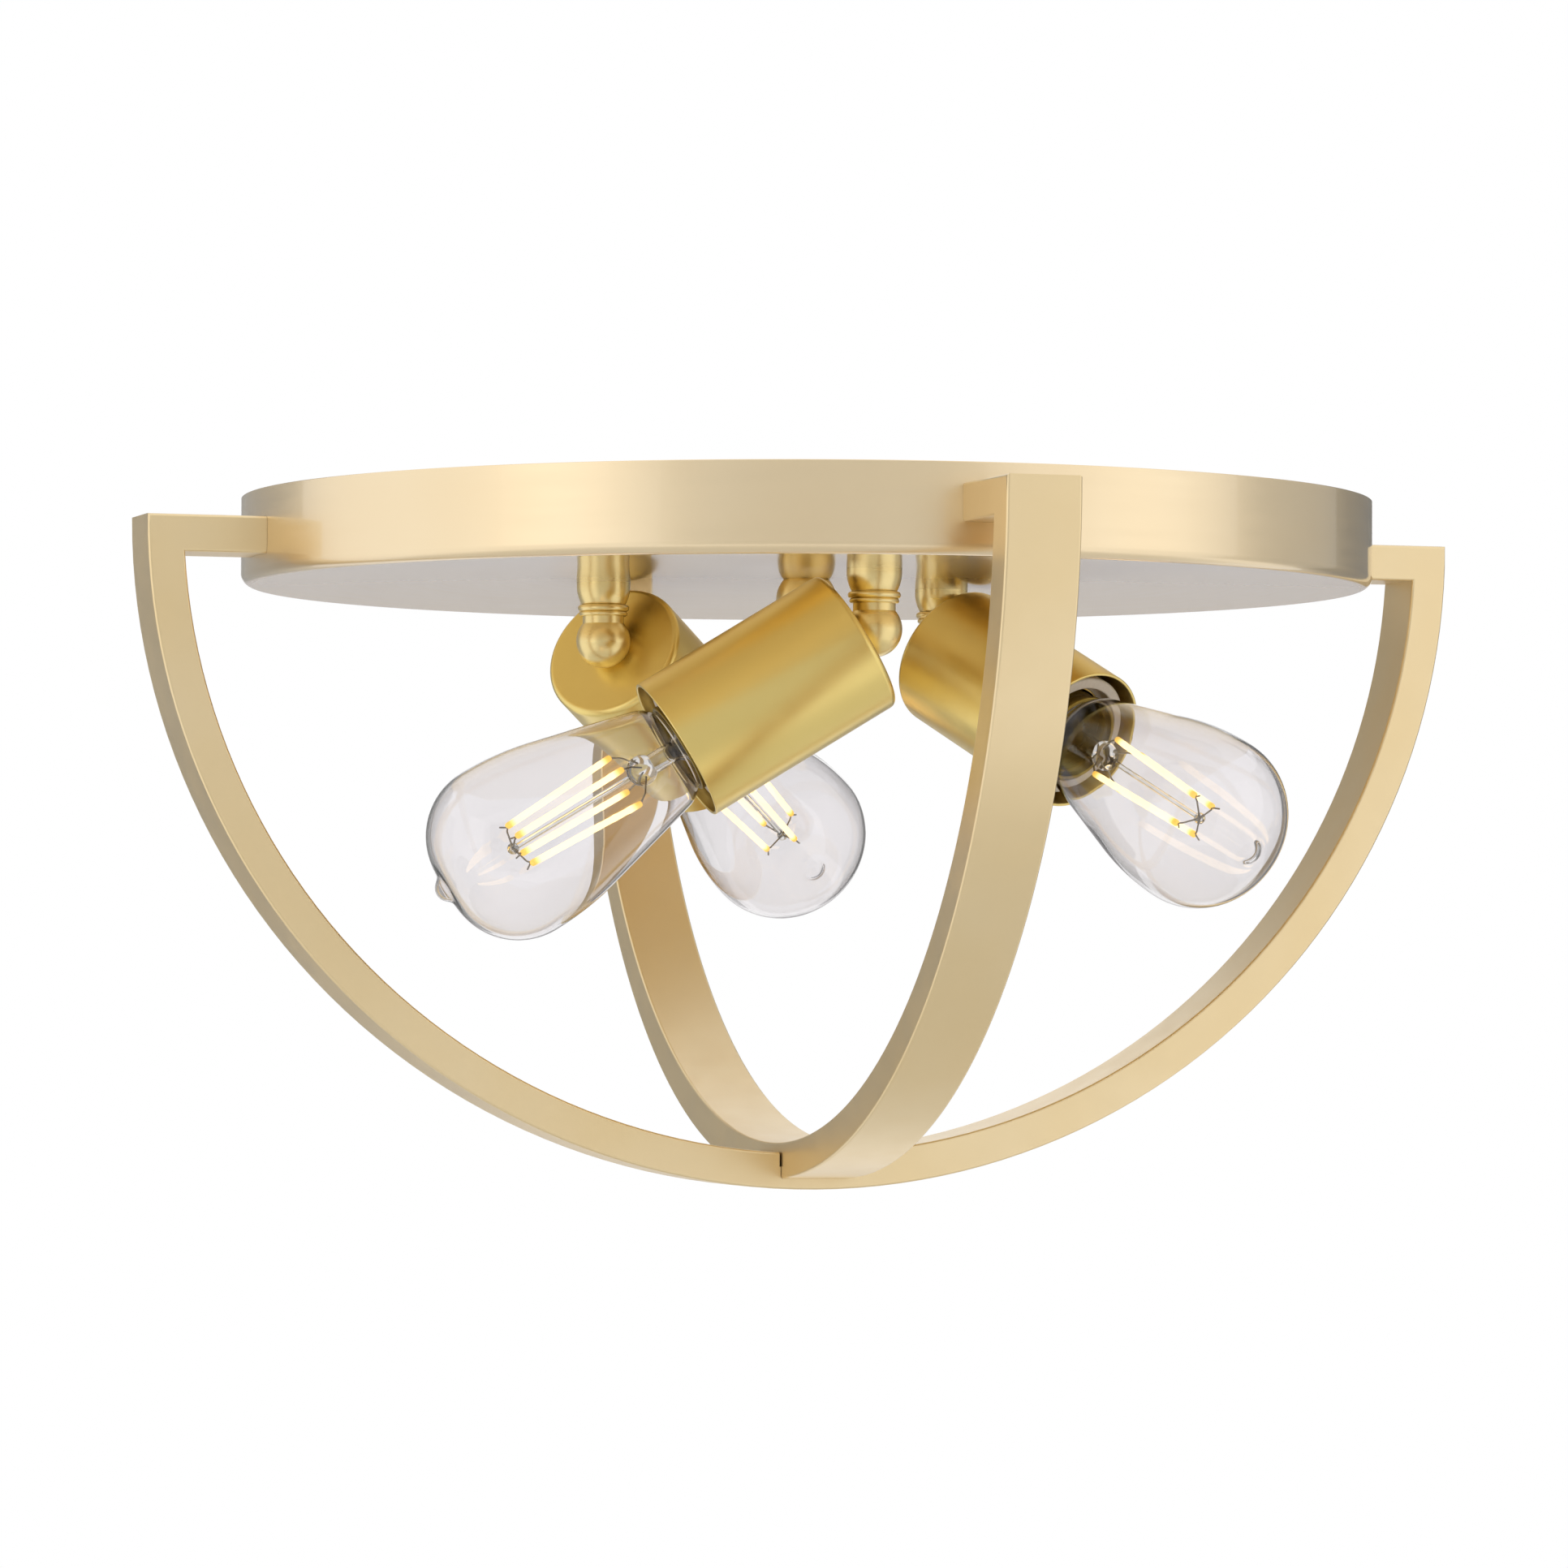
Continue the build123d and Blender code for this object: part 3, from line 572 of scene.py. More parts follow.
def arc(start, middle, end, steps=ARC_STEPS):
    """Points of the arc through three points, both ends included."""
    a, b, c = Vector(start), Vector(middle), Vector(end)
    d = 2 * (a.x * (b.y - c.y) + b.x * (c.y - a.y) + c.x * (a.y - b.y))
    x = (a.dot(a) * (b.y - c.y) + b.dot(b) * (c.y - a.y) + c.dot(c) * (a.y - b.y)) / d
    y = (a.dot(a) * (c.x - b.x) + b.dot(b) * (a.x - c.x) + c.dot(c) * (b.x - a.x)) / d
    centre = Vector((x, y))
    first = atan2(a.y - y, a.x - x)
    half = (atan2(b.y - y, b.x - x) - first) % tau
    sweep = (atan2(c.y - y, c.x - x) - first) % tau
    if half > sweep:
        sweep -= tau
    turns = [first + sweep * step / steps for step in range(steps + 1)]
    return [centre + Vector((cos(turn), sin(turn))) * (a - centre).length for turn in turns]


def rounded(corners, steps=CORNER_STEPS):
    """Closed outline of (station, radius, bend) corners, each with a bend drawn as an arc."""
    corners = [(*corner, 0.0)[:3] for corner in corners]
    points = []
    for before, corner, after in zip(corners[-1:] + corners[:-1], corners, corners[1:] + corners[:1]):
        here = Vector(corner[:2])
        if not corner[2]:
            points.append(here)
            continue
        back = (Vector(before[:2]) - here).normalized()
        onward = (Vector(after[:2]) - here).normalized()
        half = back.angle(onward) / 2
        reach = corner[2] / tan(half)
        centre = here + (back + onward).normalized() * corner[2] / sin(half)
        nearest = centre + (here - centre).normalized() * corner[2]
        points += arc(here + back * reach, nearest, here + onward * reach, steps)
    return points


def walk(start, moves, steps=ARC_STEPS):
    """Outline of straight runs and tangent arcs, each move a length or bend and how far it turns."""
    here = Vector(start)
    heading = 0.0
    points = [here.copy()]
    for size, turn in moves:
        if not turn:
            here = here + Vector((cos(heading), sin(heading))) * size
            points.append(here)
            continue
        for step in range(steps):
            heading += turn / steps / 2
            here = here + Vector((cos(heading), sin(heading))) * 2 * size * sin(abs(turn) / steps / 2)
            heading += turn / steps / 2
            points.append(here)
    return points


def finer(outline, start, end, spacing):
    """The outline with more points along its runs between two stations, for a thread to shape."""
    points = []
    for here, after in zip(outline, outline[1:] + outline[:1]):
        points.append(here)
        low, high = sorted((here.x, after.x))
        run = (after - here).length
        if high > start and low < end and run > 2 * spacing:
            count = int(run / spacing)
            points += [here.lerp(after, part / count) for part in range(1, count)]
    return points


def lathe(name, outline, place, rule=None, steps=TURN_STEPS):
    """A closed outline of (station, radius) points turned about the X axis of its place.

    The rule, where there is one, changes the radius at each station and angle.
    """
    shape = bmesh.new()
    rings = []
    for station, radius in outline:
        if radius < 1e-7:
            rings.append([shape.verts.new(place @ Vector((station, 0, 0)))])
            continue
        ring = []
        for step in range(steps):
            at = tau * step / steps
            reach = rule(station, at, radius) if rule else radius
            ring.append(shape.verts.new(place @ Vector((station, reach * cos(at), reach * sin(at)))))
        rings.append(ring)
    for ring, following in zip(rings, rings[1:] + rings[:1]):
        for step in range(steps):
            corners = [
                ring[step % len(ring)],
                ring[(step + 1) % len(ring)],
                following[(step + 1) % len(following)],
                following[step % len(following)],
            ]
            corners = list(dict.fromkeys(corners))
            if len(corners) > 2:
                shape.faces.new(corners)
    return from_bmesh(name, shape)


def drill(start, end, radius, place, steps=HOLE_STEPS):
    """A round cutter between two stations of its place."""
    return lathe("hole", [(start, 0), (start, radius), (end, radius), (end, 0)], place, steps=steps)


def thread(start, end, pitch, depth):
    """Rule for a right hand screw thread with round crests, cut this deep between two stations."""

    def rule(station, at, radius):
        if not start < station < end:
            return radius
        fade = min(1.0, 2 * (station - start) / pitch, 2 * (end - station) / pitch)
        return radius - fade * depth * (0.5 - 0.5 * cos(tau * station / pitch - at))

    return rule


def off_flat(at):
    """Angle from the middle of the nearest of a hexagon's six flats."""
    return (at + HEXAGON_TURN / 2) % HEXAGON_TURN - HEXAGON_TURN / 2


def hexagon(flats, bore, start, end):
    """Rule for a nut: six flats, corners chamfered at both ends, and a round bore."""

    def rule(station, at, radius):
        if radius <= bore:
            return radius
        depth = min(station - start, end - station)
        chamfer = flats / 2 + 0.1 * flats * min(1.0, depth / (0.05 * flats))
        return min(flats / 2 / cos(off_flat(at)), chamfer) * radius / (flats / 2)

    return rule


def prism(name, outline, low, high, place, bevel=0.0):
    """A closed outline of (x, y) points between two heights along the Z axis of its place."""
    shape = bmesh.new()
    base = [shape.verts.new(place @ Vector((*point, low))) for point in outline]
    face = shape.faces.new(base)
    raised = bmesh.ops.extrude_face_region(shape, geom=[face])["geom"]
    lift = place.to_3x3() @ Vector((0, 0, high - low))
    bmesh.ops.translate(shape, vec=lift, verts=[v for v in raised if isinstance(v, bmesh.types.BMVert)])
    if bevel:
        ends = {face for face in shape.faces if len(face.verts) == len(outline)}
        edges = [edge for edge in shape.edges if len(ends & set(edge.link_faces)) == 1]
        bmesh.ops.bevel(
            shape, geom=edges, offset=bevel, segments=3, profile=0.5, affect="EDGES", clamp_overlap=True
        )
    return from_bmesh(name, shape)


def block(name, low, high, place):
    """A plain cutter between two corners, in its place."""
    outline = [(low[0], low[1]), (high[0], low[1]), (high[0], high[1]), (low[0], high[1])]
    return prism(name, outline, low[2], high[2], place)


def joined(name, pieces):
    """Several pieces as one."""
    shape = bmesh.new()
    for piece in pieces:
        shape.from_mesh(piece.data)
        bpy.data.objects.remove(piece)
    return from_bmesh(name, shape)


# Places


def upright(x=0.0, y=0.0):
    """Place whose X axis points up from this spot, so that stations are heights."""
    return Matrix(((0, 1, 0, x), (0, 0, 1, y), (1, 0, 0, 0), (0, 0, 0, 1)))


def ball_middle(side):
    """Middle of a lamp's swivel ball."""
    return Vector(JOINTS[f"{side}_swivel"]["pos_m"])


def lamp_place(side):
    """Place of a lamp: the middle of its ball is zero and +X points out of the cup's mouth."""
    out = Vector(JOINTS[f"{side}_bulb_rise"]["axis"]).normalized()
    across = Vector((-out.y, out.x, 0)).normalized()
    place = Matrix((out, across.cross(out), across)).transposed().to_4x4()
    place.translation = ball_middle(side)
    return place


def reach_of(node, place):
    """Where a CAD piece starts and ends along the X axis of a place, and its largest radius."""
    back = place.inverted()
    points = [back @ vertex.co for vertex in frame["nodes"][node].data.vertices]
    stations = [point.x for point in points]
    return min(stations), max(stations), max(hypot(point.y, point.z) for point in points)


# Geometry Nodes


def turned_copies():
    """Tree that repeats a mesh round an axis through the origin and gives it its material."""
    name = "turned_copies"
    if name in bpy.data.node_groups:
        return bpy.data.node_groups[name]
    tree = bpy.data.node_groups.new(name, "GeometryNodeTree")
    face = tree.interface
    face.new_socket("Geometry", in_out="INPUT", socket_type="NodeSocketGeometry")
    face.new_socket("Count", in_out="INPUT", socket_type="NodeSocketInt").default_value = 4
    face.new_socket("Start", in_out="INPUT", socket_type="NodeSocketFloat").subtype = "ANGLE"
    face.new_socket("Axis", in_out="INPUT", socket_type="NodeSocketVector").default_value = (0, 0, 1)
    face.new_socket("Material", in_out="INPUT", socket_type="NodeSocketMaterial")
    face.new_socket("Geometry", in_out="OUTPUT", socket_type="NodeSocketGeometry")
    inputs = add_node(tree, "NodeGroupInput").outputs
    index = add_node(tree, "GeometryNodeInputIndex").outputs["Index"]
    step = add_node(tree, "ShaderNodeMath", {0: tau, 1: inputs["Count"]}, operation="DIVIDE")
    turn = add_node(
        tree,
        "ShaderNodeMath",
        {0: index, 1: step.outputs["Value"], 2: inputs["Start"]},
        operation="MULTIPLY_ADD",
    )
    rotation = add_node(
        tree,
        "FunctionNodeAxisAngleToRotation",
        {"Axis": inputs["Axis"], "Angle": turn.outputs["Value"]},
    )
    points = add_node(tree, "GeometryNodePoints", {"Count": inputs["Count"]})
    copies = add_node(
        tree,
        "GeometryNodeInstanceOnPoints",
        {
            "Points": points.outputs["Points"],
            "Instance": inputs["Geometry"],
            "Rotation": rotation.outputs["Rotation"],
        },
    )
    real = add_node(
        tree, "GeometryNodeRealizeInstances", {"Geometry": copies.outputs["Instances"]}
    )
    dressed = add_node(
        tree,
        "GeometryNodeSetMaterial",
        {"Geometry": real.outputs["Geometry"], "Material": inputs["Material"]},
    )
    add_node(tree, "NodeGroupOutput", {"Geometry": dressed.outputs["Geometry"]})
    return tree


def drawn_wire():
    """Tree that draws round wire along the runs of a mesh, with each corner bent to a radius."""
    name = "drawn_wire"
    if name in bpy.data.node_groups:
        return bpy.data.node_groups[name]
    tree = bpy.data.node_groups.new(name, "GeometryNodeTree")
    face = tree.interface
    face.new_socket("Geometry", in_out="INPUT", socket_type="NodeSocketGeometry")
    face.new_socket("Wire radius", in_out="INPUT", socket_type="NodeSocketFloat").subtype = "DISTANCE"
    face.new_socket("Bend", in_out="INPUT", socket_type="NodeSocketFloat").subtype = "DISTANCE"
    face.new_socket("Material", in_out="INPUT", socket_type="NodeSocketMaterial")
    face.new_socket("Geometry", in_out="OUTPUT", socket_type="NodeSocketGeometry")
    inputs = add_node(tree, "NodeGroupInput").outputs
    path = add_node(tree, "GeometryNodeMeshToCurve", {"Mesh": inputs["Geometry"]})
    bent = add_node(
        tree,
        "GeometryNodeFilletCurve",
        {"Curve": path.outputs["Curve"], "Radius": inputs["Bend"], "Count": 5},
        mode="POLY",
    )
    profile = add_node(
        tree, "GeometryNodeCurvePrimitiveCircle", {"Resolution": 12, "Radius": inputs["Wire radius"]}
    )
    wire = add_node(
        tree,
        "GeometryNodeCurveToMesh",
        {
            "Curve": bent.outputs["Curve"],
            "Profile Curve": profile.outputs["Curve"],
            "Fill Caps": True,
        },
    )
    real = add_node(tree, "GeometryNodeRealizeInstances", {"Geometry": wire.outputs["Mesh"]})
    dressed = add_node(
        tree,
        "GeometryNodeSetMaterial",
        {"Geometry": real.outputs["Geometry"], "Material": inputs["Material"]},
    )
    add_node(tree, "NodeGroupOutput", {"Geometry": dressed.outputs["Geometry"]})
    return tree


def grow(piece, tree, **values):
    """Run a Geometry Nodes tree on a piece and keep the result as a plain mesh."""
    nodes = piece.modifiers.new(tree.name, "NODES")
    nodes.node_group = tree
    for item in tree.interface.items_tree:
        key = item.name.lower().replace(" ", "_")
        if item.in_out == "INPUT" and key in values:
            nodes[item.identifier] = values[key]
    return plain(piece)


# Ceiling pan and what hangs it


def dome_height(radius):
    """Height of the pan's domed underside at this radius from its centre."""
    pan = bpy.context.scene.light_pan
    low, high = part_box("ceiling_pan")
    floor_radius = high.x - pan.edge
    dome_radius = (floor_radius**2 + pan.dome**2) / (2 * pan.dome)
    return low.z + pan.dome - dome_radius + sqrt(dome_radius**2 - radius**2)


def make_pan():
    """The spun pan, open towards the ceiling."""
    pan = bpy.context.scene.light_pan
    hoop = bpy.context.scene.light_hoop
    stem = bpy.context.scene.light_stem
    low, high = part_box("ceiling_pan")
    radius = high.x
    inner_radius = radius - pan.wall
    floor_radius = radius - pan.edge
    corner = low.z + pan.edge
    floor_rings, edge_steps, rim_steps = 24, 12, 4
    floor = [floor_radius * ring / floor_rings for ring in range(floor_rings + 1)]
    bends = [radians(90 * step / edge_steps) for step in range(1, edge_steps + 1)]
    outer = [Vector((dome_height(r), r)) for r in floor]
    outer += [
        Vector((corner - pan.edge * cos(bend), floor_radius + pan.edge * sin(bend))) for bend in bends
    ]
    tuck = pan.rim * (1 - cos(radians(45)))
    rim = arc(
        (high.z - pan.rim, radius), (high.z - tuck, radius - tuck), (high.z, radius - pan.rim), rim_steps
    )
    lip = arc(
        (high.z, inner_radius + pan.rim),
        (high.z - tuck, inner_radius + tuck),
        (high.z - pan.rim, inner_radius),
        rim_steps,
    )
    inside = pan.edge - pan.wall
    inner = [
        Vector((corner - inside * cos(bend), floor_radius + inside * sin(bend))) for bend in bends[::-1]
    ]
    inner += [Vector((dome_height(r) + pan.wall, r)) for r in floor[::-1]]
    body = lathe("ceiling_pan_shell", outer + rim + lip + inner, upright(), steps=LARGE_TURN_STEPS)
    bottom, top = low.z - pan.wall, low.z + 2 * pan.dome + pan.wall
    cutters = []
    for side in SIDES:
        foot = ball_middle(side)
        cutters.append(drill(bottom, top, stem.shank + HOLE_PLAY, upright(foot.x, foot.y)))
    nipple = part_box("crossbar_nipple")[1].x
    cutters.append(drill(bottom, top, nipple + HOLE_PLAY, upright()))
    wall_start, wall_end = radius - 9 * MM, radius + MM
    for place, height in screw_rows():
        for offset in (-hoop.screw_spacing / 2, hoop.screw_spacing / 2):
            spot = place @ Matrix.Translation((0, offset, height))
            bore = hoop.screw_radius + HOLE_PLAY
            cutters.append(drill(wall_start, wall_end, bore, spot, HOLE_STEPS // 2))
    cut(body, *cutters)
    seat(smooth(body), "pan_plate", "root", "ceiling_pan")


def make_crossbar():
    """The ceiling crossbar with its two slots."""
    pan = bpy.context.scene.light_pan
    low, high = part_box("crossbar")
    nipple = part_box("crossbar_nipple")[1].x
    corners = [(low.x, low.y), (high.x, low.y), (high.x, high.y), (low.x, high.y)]
    outline = rounded([(*corner, pan.bar_corner) for corner in corners])
    bar = prism("crossbar_plate", outline, low.z, high.z, Matrix.Identity(4), bevel=pan.bar_edge)
    bottom, top = low.z - MM, high.z + MM
    end_steps = 16
    cutters = []
    for middle in (-pan.slot_spacing / 2, pan.slot_spacing / 2):
        half = pan.slot_width / 2
        ends = (pan.slot_length - pan.slot_width) / 2
        slot = []
        for end, start in ((ends, -90), (-ends, 90)):
            turns = [radians(start + 180 * step / end_steps) for step in range(end_steps + 1)]
            slot += [(middle + end + half * cos(turn), half * sin(turn)) for turn in turns]
        cutters.append(prism("slot", slot, bottom, top, Matrix.Identity(4)))
    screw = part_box("ground_screw")
    screw_x = (screw[0].x + screw[1].x) / 2
    screw_hole = 2.05 * MM
    for at, bore in ((0.0, nipple + THREAD_PLAY), (screw_x, screw_hole)):
        cutters.append(drill(bottom, top, bore, upright(at, 0)))
    cut(bar, *cutters)
    seat(smooth(bar), "zinc_steel", "root", "crossbar")


def make_nut(name, node, place, flats, bore, body):
    """A hexagon nut in the place of its node."""
    start, end, _ = reach_of(node, place)
    outline = rounded(
        [(start, bore, SMALL_CHAMFER), (end, bore, SMALL_CHAMFER), (end, flats / 2), (start, flats / 2)]
    )
    outline = finer(outline, start, end, 0.25 * MM)
    round_bore = bore + 0.5 * MM
    nut = lathe(name, outline, place, hexagon(flats, round_bore, start, end), steps=96)
    seat(smooth(nut), "zinc_steel", body, node)


def make_nipple(name, node, place, bore, body):
    """A threaded tube in the place of its node."""
    pan = bpy.context.scene.light_pan
    start, end, radius = reach_of(node, place)
    outline = rounded(
        [(start, bore), (start, radius, SMALL_CHAMFER), (end, radius, SMALL_CHAMFER), (end, bore)]
    )
    outline = finer(outline, start, end, pan.thread_pitch / 6)
    cuts = thread(start, end, pan.thread_pitch, pan.thread_depth)

    def rule(station, at, reach):
        """The thread, on the outside alone."""
        return cuts(station, at, reach) if reach > bore + MM / 2 else reach

    tube = lathe(name, outline, place, rule, SMALL_TURN_STEPS)
    seat(smooth(tube), "zinc_steel", body, node)


def make_finial():
    """The ball that holds the pan, with a blind threaded hole."""
    low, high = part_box("ball_finial")
    radius = high.x
    middle = low.z + radius
    seat_radius = sqrt(radius**2 - (high.z - middle) ** 2)
    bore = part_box("crossbar_nipple")[1].x + THREAD_PLAY
    hole_depth = 8.55 * MM
    bottom = high.z - hole_depth
    ball = arc((low.z, 0), (middle, radius), (high.z, seat_radius), 48)
    outline = [Vector((bottom, 0)), *ball, Vector((high.z, bore)), Vector((bottom, bore))]
    seat(smooth(lathe("ball_finial_body", outline, upright())), "turned_plate", "root", "ball_finial")


def make_ground_screw():
    """The green ground screw, with a hexagon head and a driver slot."""
    low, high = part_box("ground_screw")
    middle = (low.x + high.x) / 2
    head, shank, pitch, depth = 2.6 * MM, 2.0 * MM, 0.7 * MM, 0.3 * MM
    slot_half_width, slot_half_length, slot_depth = 0.5 * MM, 5 * MM, MM
    head_radius = (high.x - low.x) / 2
    outline = rounded(
        [
            (low.z, 0),
            (low.z, head_radius, 0.5 * MM),
            (low.z + head, head_radius),
            (low.z + head, shank),
            (high.z, shank, 0.3 * MM),
            (high.z, 0),
        ]
    )
    outline = finer(outline, low.z, high.z, 0.12 * MM)
    cuts = thread(low.z + head, high.z, pitch, depth)

    def rule(station, at, radius):
        """Six flats on the head and a thread on the shank."""
        if station < low.z + head - MM / 10 and radius > shank:
            return radius * min(1.0, cos(HEXAGON_TURN / 2) / cos(off_flat(at)) + 0.02)
        return cuts(station, at, radius)

    screw = lathe("ground_screw_body", outline, upright(middle, 0), rule, SMALL_TURN_STEPS)
    slot = block(
        "slot",
        (middle - slot_half_length, -slot_half_width, low.z - slot_depth),
        (middle + slot_half_length, slot_half_width, low.z + slot_depth),
        Matrix.Identity(4),
    )
    cut(screw, slot)
    seat(smooth(screw), "ground_green", "root", "ground_screw")


# Half hoops and their screws


def screw_rows():
    """Place and height of the screws at each of the four arms."""
    hoop = bpy.context.scene.light_hoop
    rows = []
    for node, first in (("side_hoop", 0), ("front_hoop", 90)):
        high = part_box(node)[1]
        for turn in (first, first + 180):
            rows.append((Matrix.Rotation(radians(turn), 4, "Z"), high.z - hoop.depth / 2))
    return rows


def make_hoop(node, turn, lap_up):
    """One half hoop: an ellipse of flat bar with an arm at each end, half lapped at the bottom."""
    hoop = bpy.context.scene.light_hoop
    low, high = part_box(node)
    place = Matrix.Rotation(turn, 4, "Z") @ Matrix.Rotation(radians(90), 4, "X")
    reach = max(high.x, high.y)
    half_width = min(high.x, high.y)
    top = high.z
    drop = top - low.z
    pan_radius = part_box("ceiling_pan")[1].x
    steps = 96
    outer = [(reach * cos(pi * s / steps), top - drop * sin(pi * s / steps)) for s in range(steps + 1)]
    inner_reach, inner_drop = reach - hoop.depth, drop - hoop.depth
    start = atan2(hoop.depth / inner_drop, sqrt(1 - (hoop.depth / inner_drop) ** 2))
    inner = []
    for step in range(steps + 1):
        at = pi - start - (pi - 2 * start) * step / steps
        inner.append((inner_reach * cos(at), top - inner_drop * sin(at)))
    into_pan, cope_depth = 6 * MM, 60 * MM
    arm_end = pan_radius - into_pan
    outline = [(arm_end, top)] + outer + [(-arm_end, top), (-arm_end, top - hoop.depth)]
    outline += inner + [(arm_end, top - hoop.depth)]
    bar = prism(f"{node}_bar", outline, -half_width, half_width, place, bevel=hoop.edge)
    cope = drill(-cope_depth, MM, pan_radius + hoop.butt_gap, upright(), LARGE_TURN_STEPS)
    gap = half_width + hoop.lap_gap
    lap = (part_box("side_hoop")[0].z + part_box("front_hoop")[0].z + hoop.depth) / 2
    notch_low, notch_high = (lap, lap + 2 * hoop.depth) if lap_up else (lap - 2 * hoop.depth, lap)
    notch = block("notch", (-gap, -gap, notch_low), (gap, gap, notch_high), Matrix.Identity(4))
    cut(bar, cope, notch)
    seat(smooth(bar), "hoop_plate", "root", node)


def make_hoop_screws():
    """Eight pan head screws with cross recesses, two through the pan's wall into each arm."""
    hoop = bpy.context.scene.light_hoop
    pan = bpy.context.scene.light_pan
    pan_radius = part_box("ceiling_pan")[1].x
    head_side = hoop.screw_spacing / 2 + hoop.head_radius
    face = sqrt((pan_radius - pan.wall) ** 2 - head_side**2)
    head, reach, pitch, depth = 2.4 * MM, 11 * MM, 0.8 * MM, 0.35 * MM
    recess_half_length, recess_half_width = 2.1 * MM, 0.4 * MM
    tip = pan_radius + reach
    dome = arc(
        (face - head, 0),
        (face - 0.8 * head, 0.7 * hoop.head_radius),
        (face - 0.35 * head, hoop.head_radius),
        8,
    )
    outline = dome + rounded(
        [(face, hoop.head_radius), (face, hoop.screw_radius), (tip, hoop.screw_radius, 0.5 * MM), (tip, 0)]
    )
    outline = finer(outline, face, tip, 0.2 * MM)
    cuts = thread(face + MM, tip, pitch, depth)
    pair = []
    for offset in (-hoop.screw_spacing / 2, hoop.screw_spacing / 2):
        for place, height in screw_rows()[::2]:
            spot = place @ Matrix.Translation((0, offset, height))
            screw = lathe("screw", outline, spot, cuts, 32)
            arms = [
                block("arm", (face - head - MM, -width, -rise), (face - head / 2, width, rise), spot)
                for width, rise in (
                    (recess_half_length, recess_half_width),
                    (recess_half_width, recess_half_length),
                )
            ]
            pair.append(cut(screw, *arms))
    screws = joined("hoop_screw_set", pair)
    grow(screws, turned_copies(), count=2, axis=(0, 0, 1), material=finish_of("zinc_steel"))
    seat(smooth(screws), "zinc_steel", "root", "hoop_screws")


# Stems


def make_washers():
    """Three washers, shaped to the domed floor of the pan."""
    pan = bpy.context.scene.light_pan
    stem = bpy.context.scene.light_stem
    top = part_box("stem_washers")[1].z
    foot = ball_middle("front")
    circle = hypot(foot.x, foot.y)
    clearance, radius = 0.15 * MM, 9 * MM
    bottom = dome_height(circle) + pan.wall + clearance
    bore = stem.shank + HOLE_PLAY
    outline = rounded(
        [(bottom, bore), (bottom, radius, 0.2 * MM), (top, radius, 0.3 * MM), (top, bore, 0.2 * MM)]
    )
    washer = lathe("stem_washer_set", outline, upright(circle, 0), steps=SMALL_TURN_STEPS)
    start = atan2(foot.y, foot.x)
    grow(
        washer, turned_copies(), count=len(SIDES), start=start, axis=(0, 0, 1),
        material=finish_of("zinc_steel"),
    )
    seat(smooth(washer), "zinc_steel", "root", "stem_washers")


def make_collar(side):
    """The fixed collar under the pan: a straight band, then a barrel that curls in to its waist.

    The barrel's middle is this share of the way down, and this share of the way out from the waist.
    """
    stem = bpy.context.scene.light_stem
    foot = ball_middle(side)
    low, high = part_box(f"{side}_collar")
    radius = (high.x - low.x) / 2
    pan_face = dome_height(hypot(foot.x, foot.y))
    seat_height = pan_face + 0.1 * MM
    bore = stem.shank + THREAD_PLAY
    down, out = 0.55, 0.78
    barrel = ((1 - down) * pan_face + down * low.z, out * radius + (1 - out) * stem.waist)
    sweep = arc((pan_face - stem.land, radius), barrel, (low.z, stem.waist))
    outline = [Vector((low.z, bore)), Vector((seat_height, bore)), Vector((seat_height, radius))]
    collar = lathe(f"{side}_collar_body", outline + sweep, upright(foot.x, foot.y))
    seat(smooth(collar), "turned_plate", "root", f"{side}_collar")


def make_swivel_ball(side):
    """The turning ball with its two-ring bead, neck and hollow shank, and a flat for the cup."""
    stem = bpy.context.scene.light_stem
    foot = ball_middle(side)
    low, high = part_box(f"{side}_swivel_ball")
    radius = foot.z - low.z
    bead_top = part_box(f"{side}_collar")[0].z - stem.rub
    bead_bottom = bead_top - stem.bead_height
    upper_share, lower_ring = 0.6, 0.94 * stem.bead
    groove = bead_top - upper_share * stem.bead_height
    neck_bottom = foot.z + sqrt(radius**2 - stem.neck**2)
    shank = [
        Vector((foot.z, 0)),
        Vector((foot.z, stem.bore)),
        Vector((high.z, stem.bore)),
        Vector((high.z, stem.shank)),
        Vector((bead_top, stem.shank)),
        Vector((bead_top, stem.waist)),
    ]
    rings = arc((bead_top, stem.waist), ((bead_top + groove) / 2, stem.bead), (groove, stem.groove))
    rings += arc(
        (groove, stem.groove), ((groove + bead_bottom) / 2, lower_ring), (bead_bottom, stem.neck)
    )[1:]
    ball = arc((neck_bottom, stem.neck), (foot.z, radius), (low.z, 0), 48)
    body = lathe(f"{side}_swivel_ball_body", shank + rings[1:] + ball, upright(foot.x, foot.y))
    flat = block("flat", (stem.flat, -radius, -radius), (2 * radius, radius, radius), lamp_place(side))
    cut(body, flat)
    seat(smooth(body), "turned_plate", f"{side}_lamp", f"{side}_swivel_ball")


# Cups and lampholders


def make_cup(side):
    """The drawn cup, with a rolled edge at its floor and a burnished mouth."""
    cup = bpy.context.scene.light_cup
    place = lamp_place(side)
    start, end, radius = reach_of(f"{side}_cup", place)
    inside = radius - cup.wall
    outline = rounded(
        [
            (start, CUP_HOLE),
            (start, radius, cup.edge),
            (end, radius, cup.rim),
            (end, inside, cup.rim),
            (start + cup.wall, inside, cup.edge - cup.wall),
            (start + cup.wall, CUP_HOLE),
        ],
        steps=8,
    )
    body = lathe(f"{side}_cup_shell", outline, place, steps=192)
    seat(smooth(body), "cup_plate", f"{side}_lamp", f"{side}_cup")


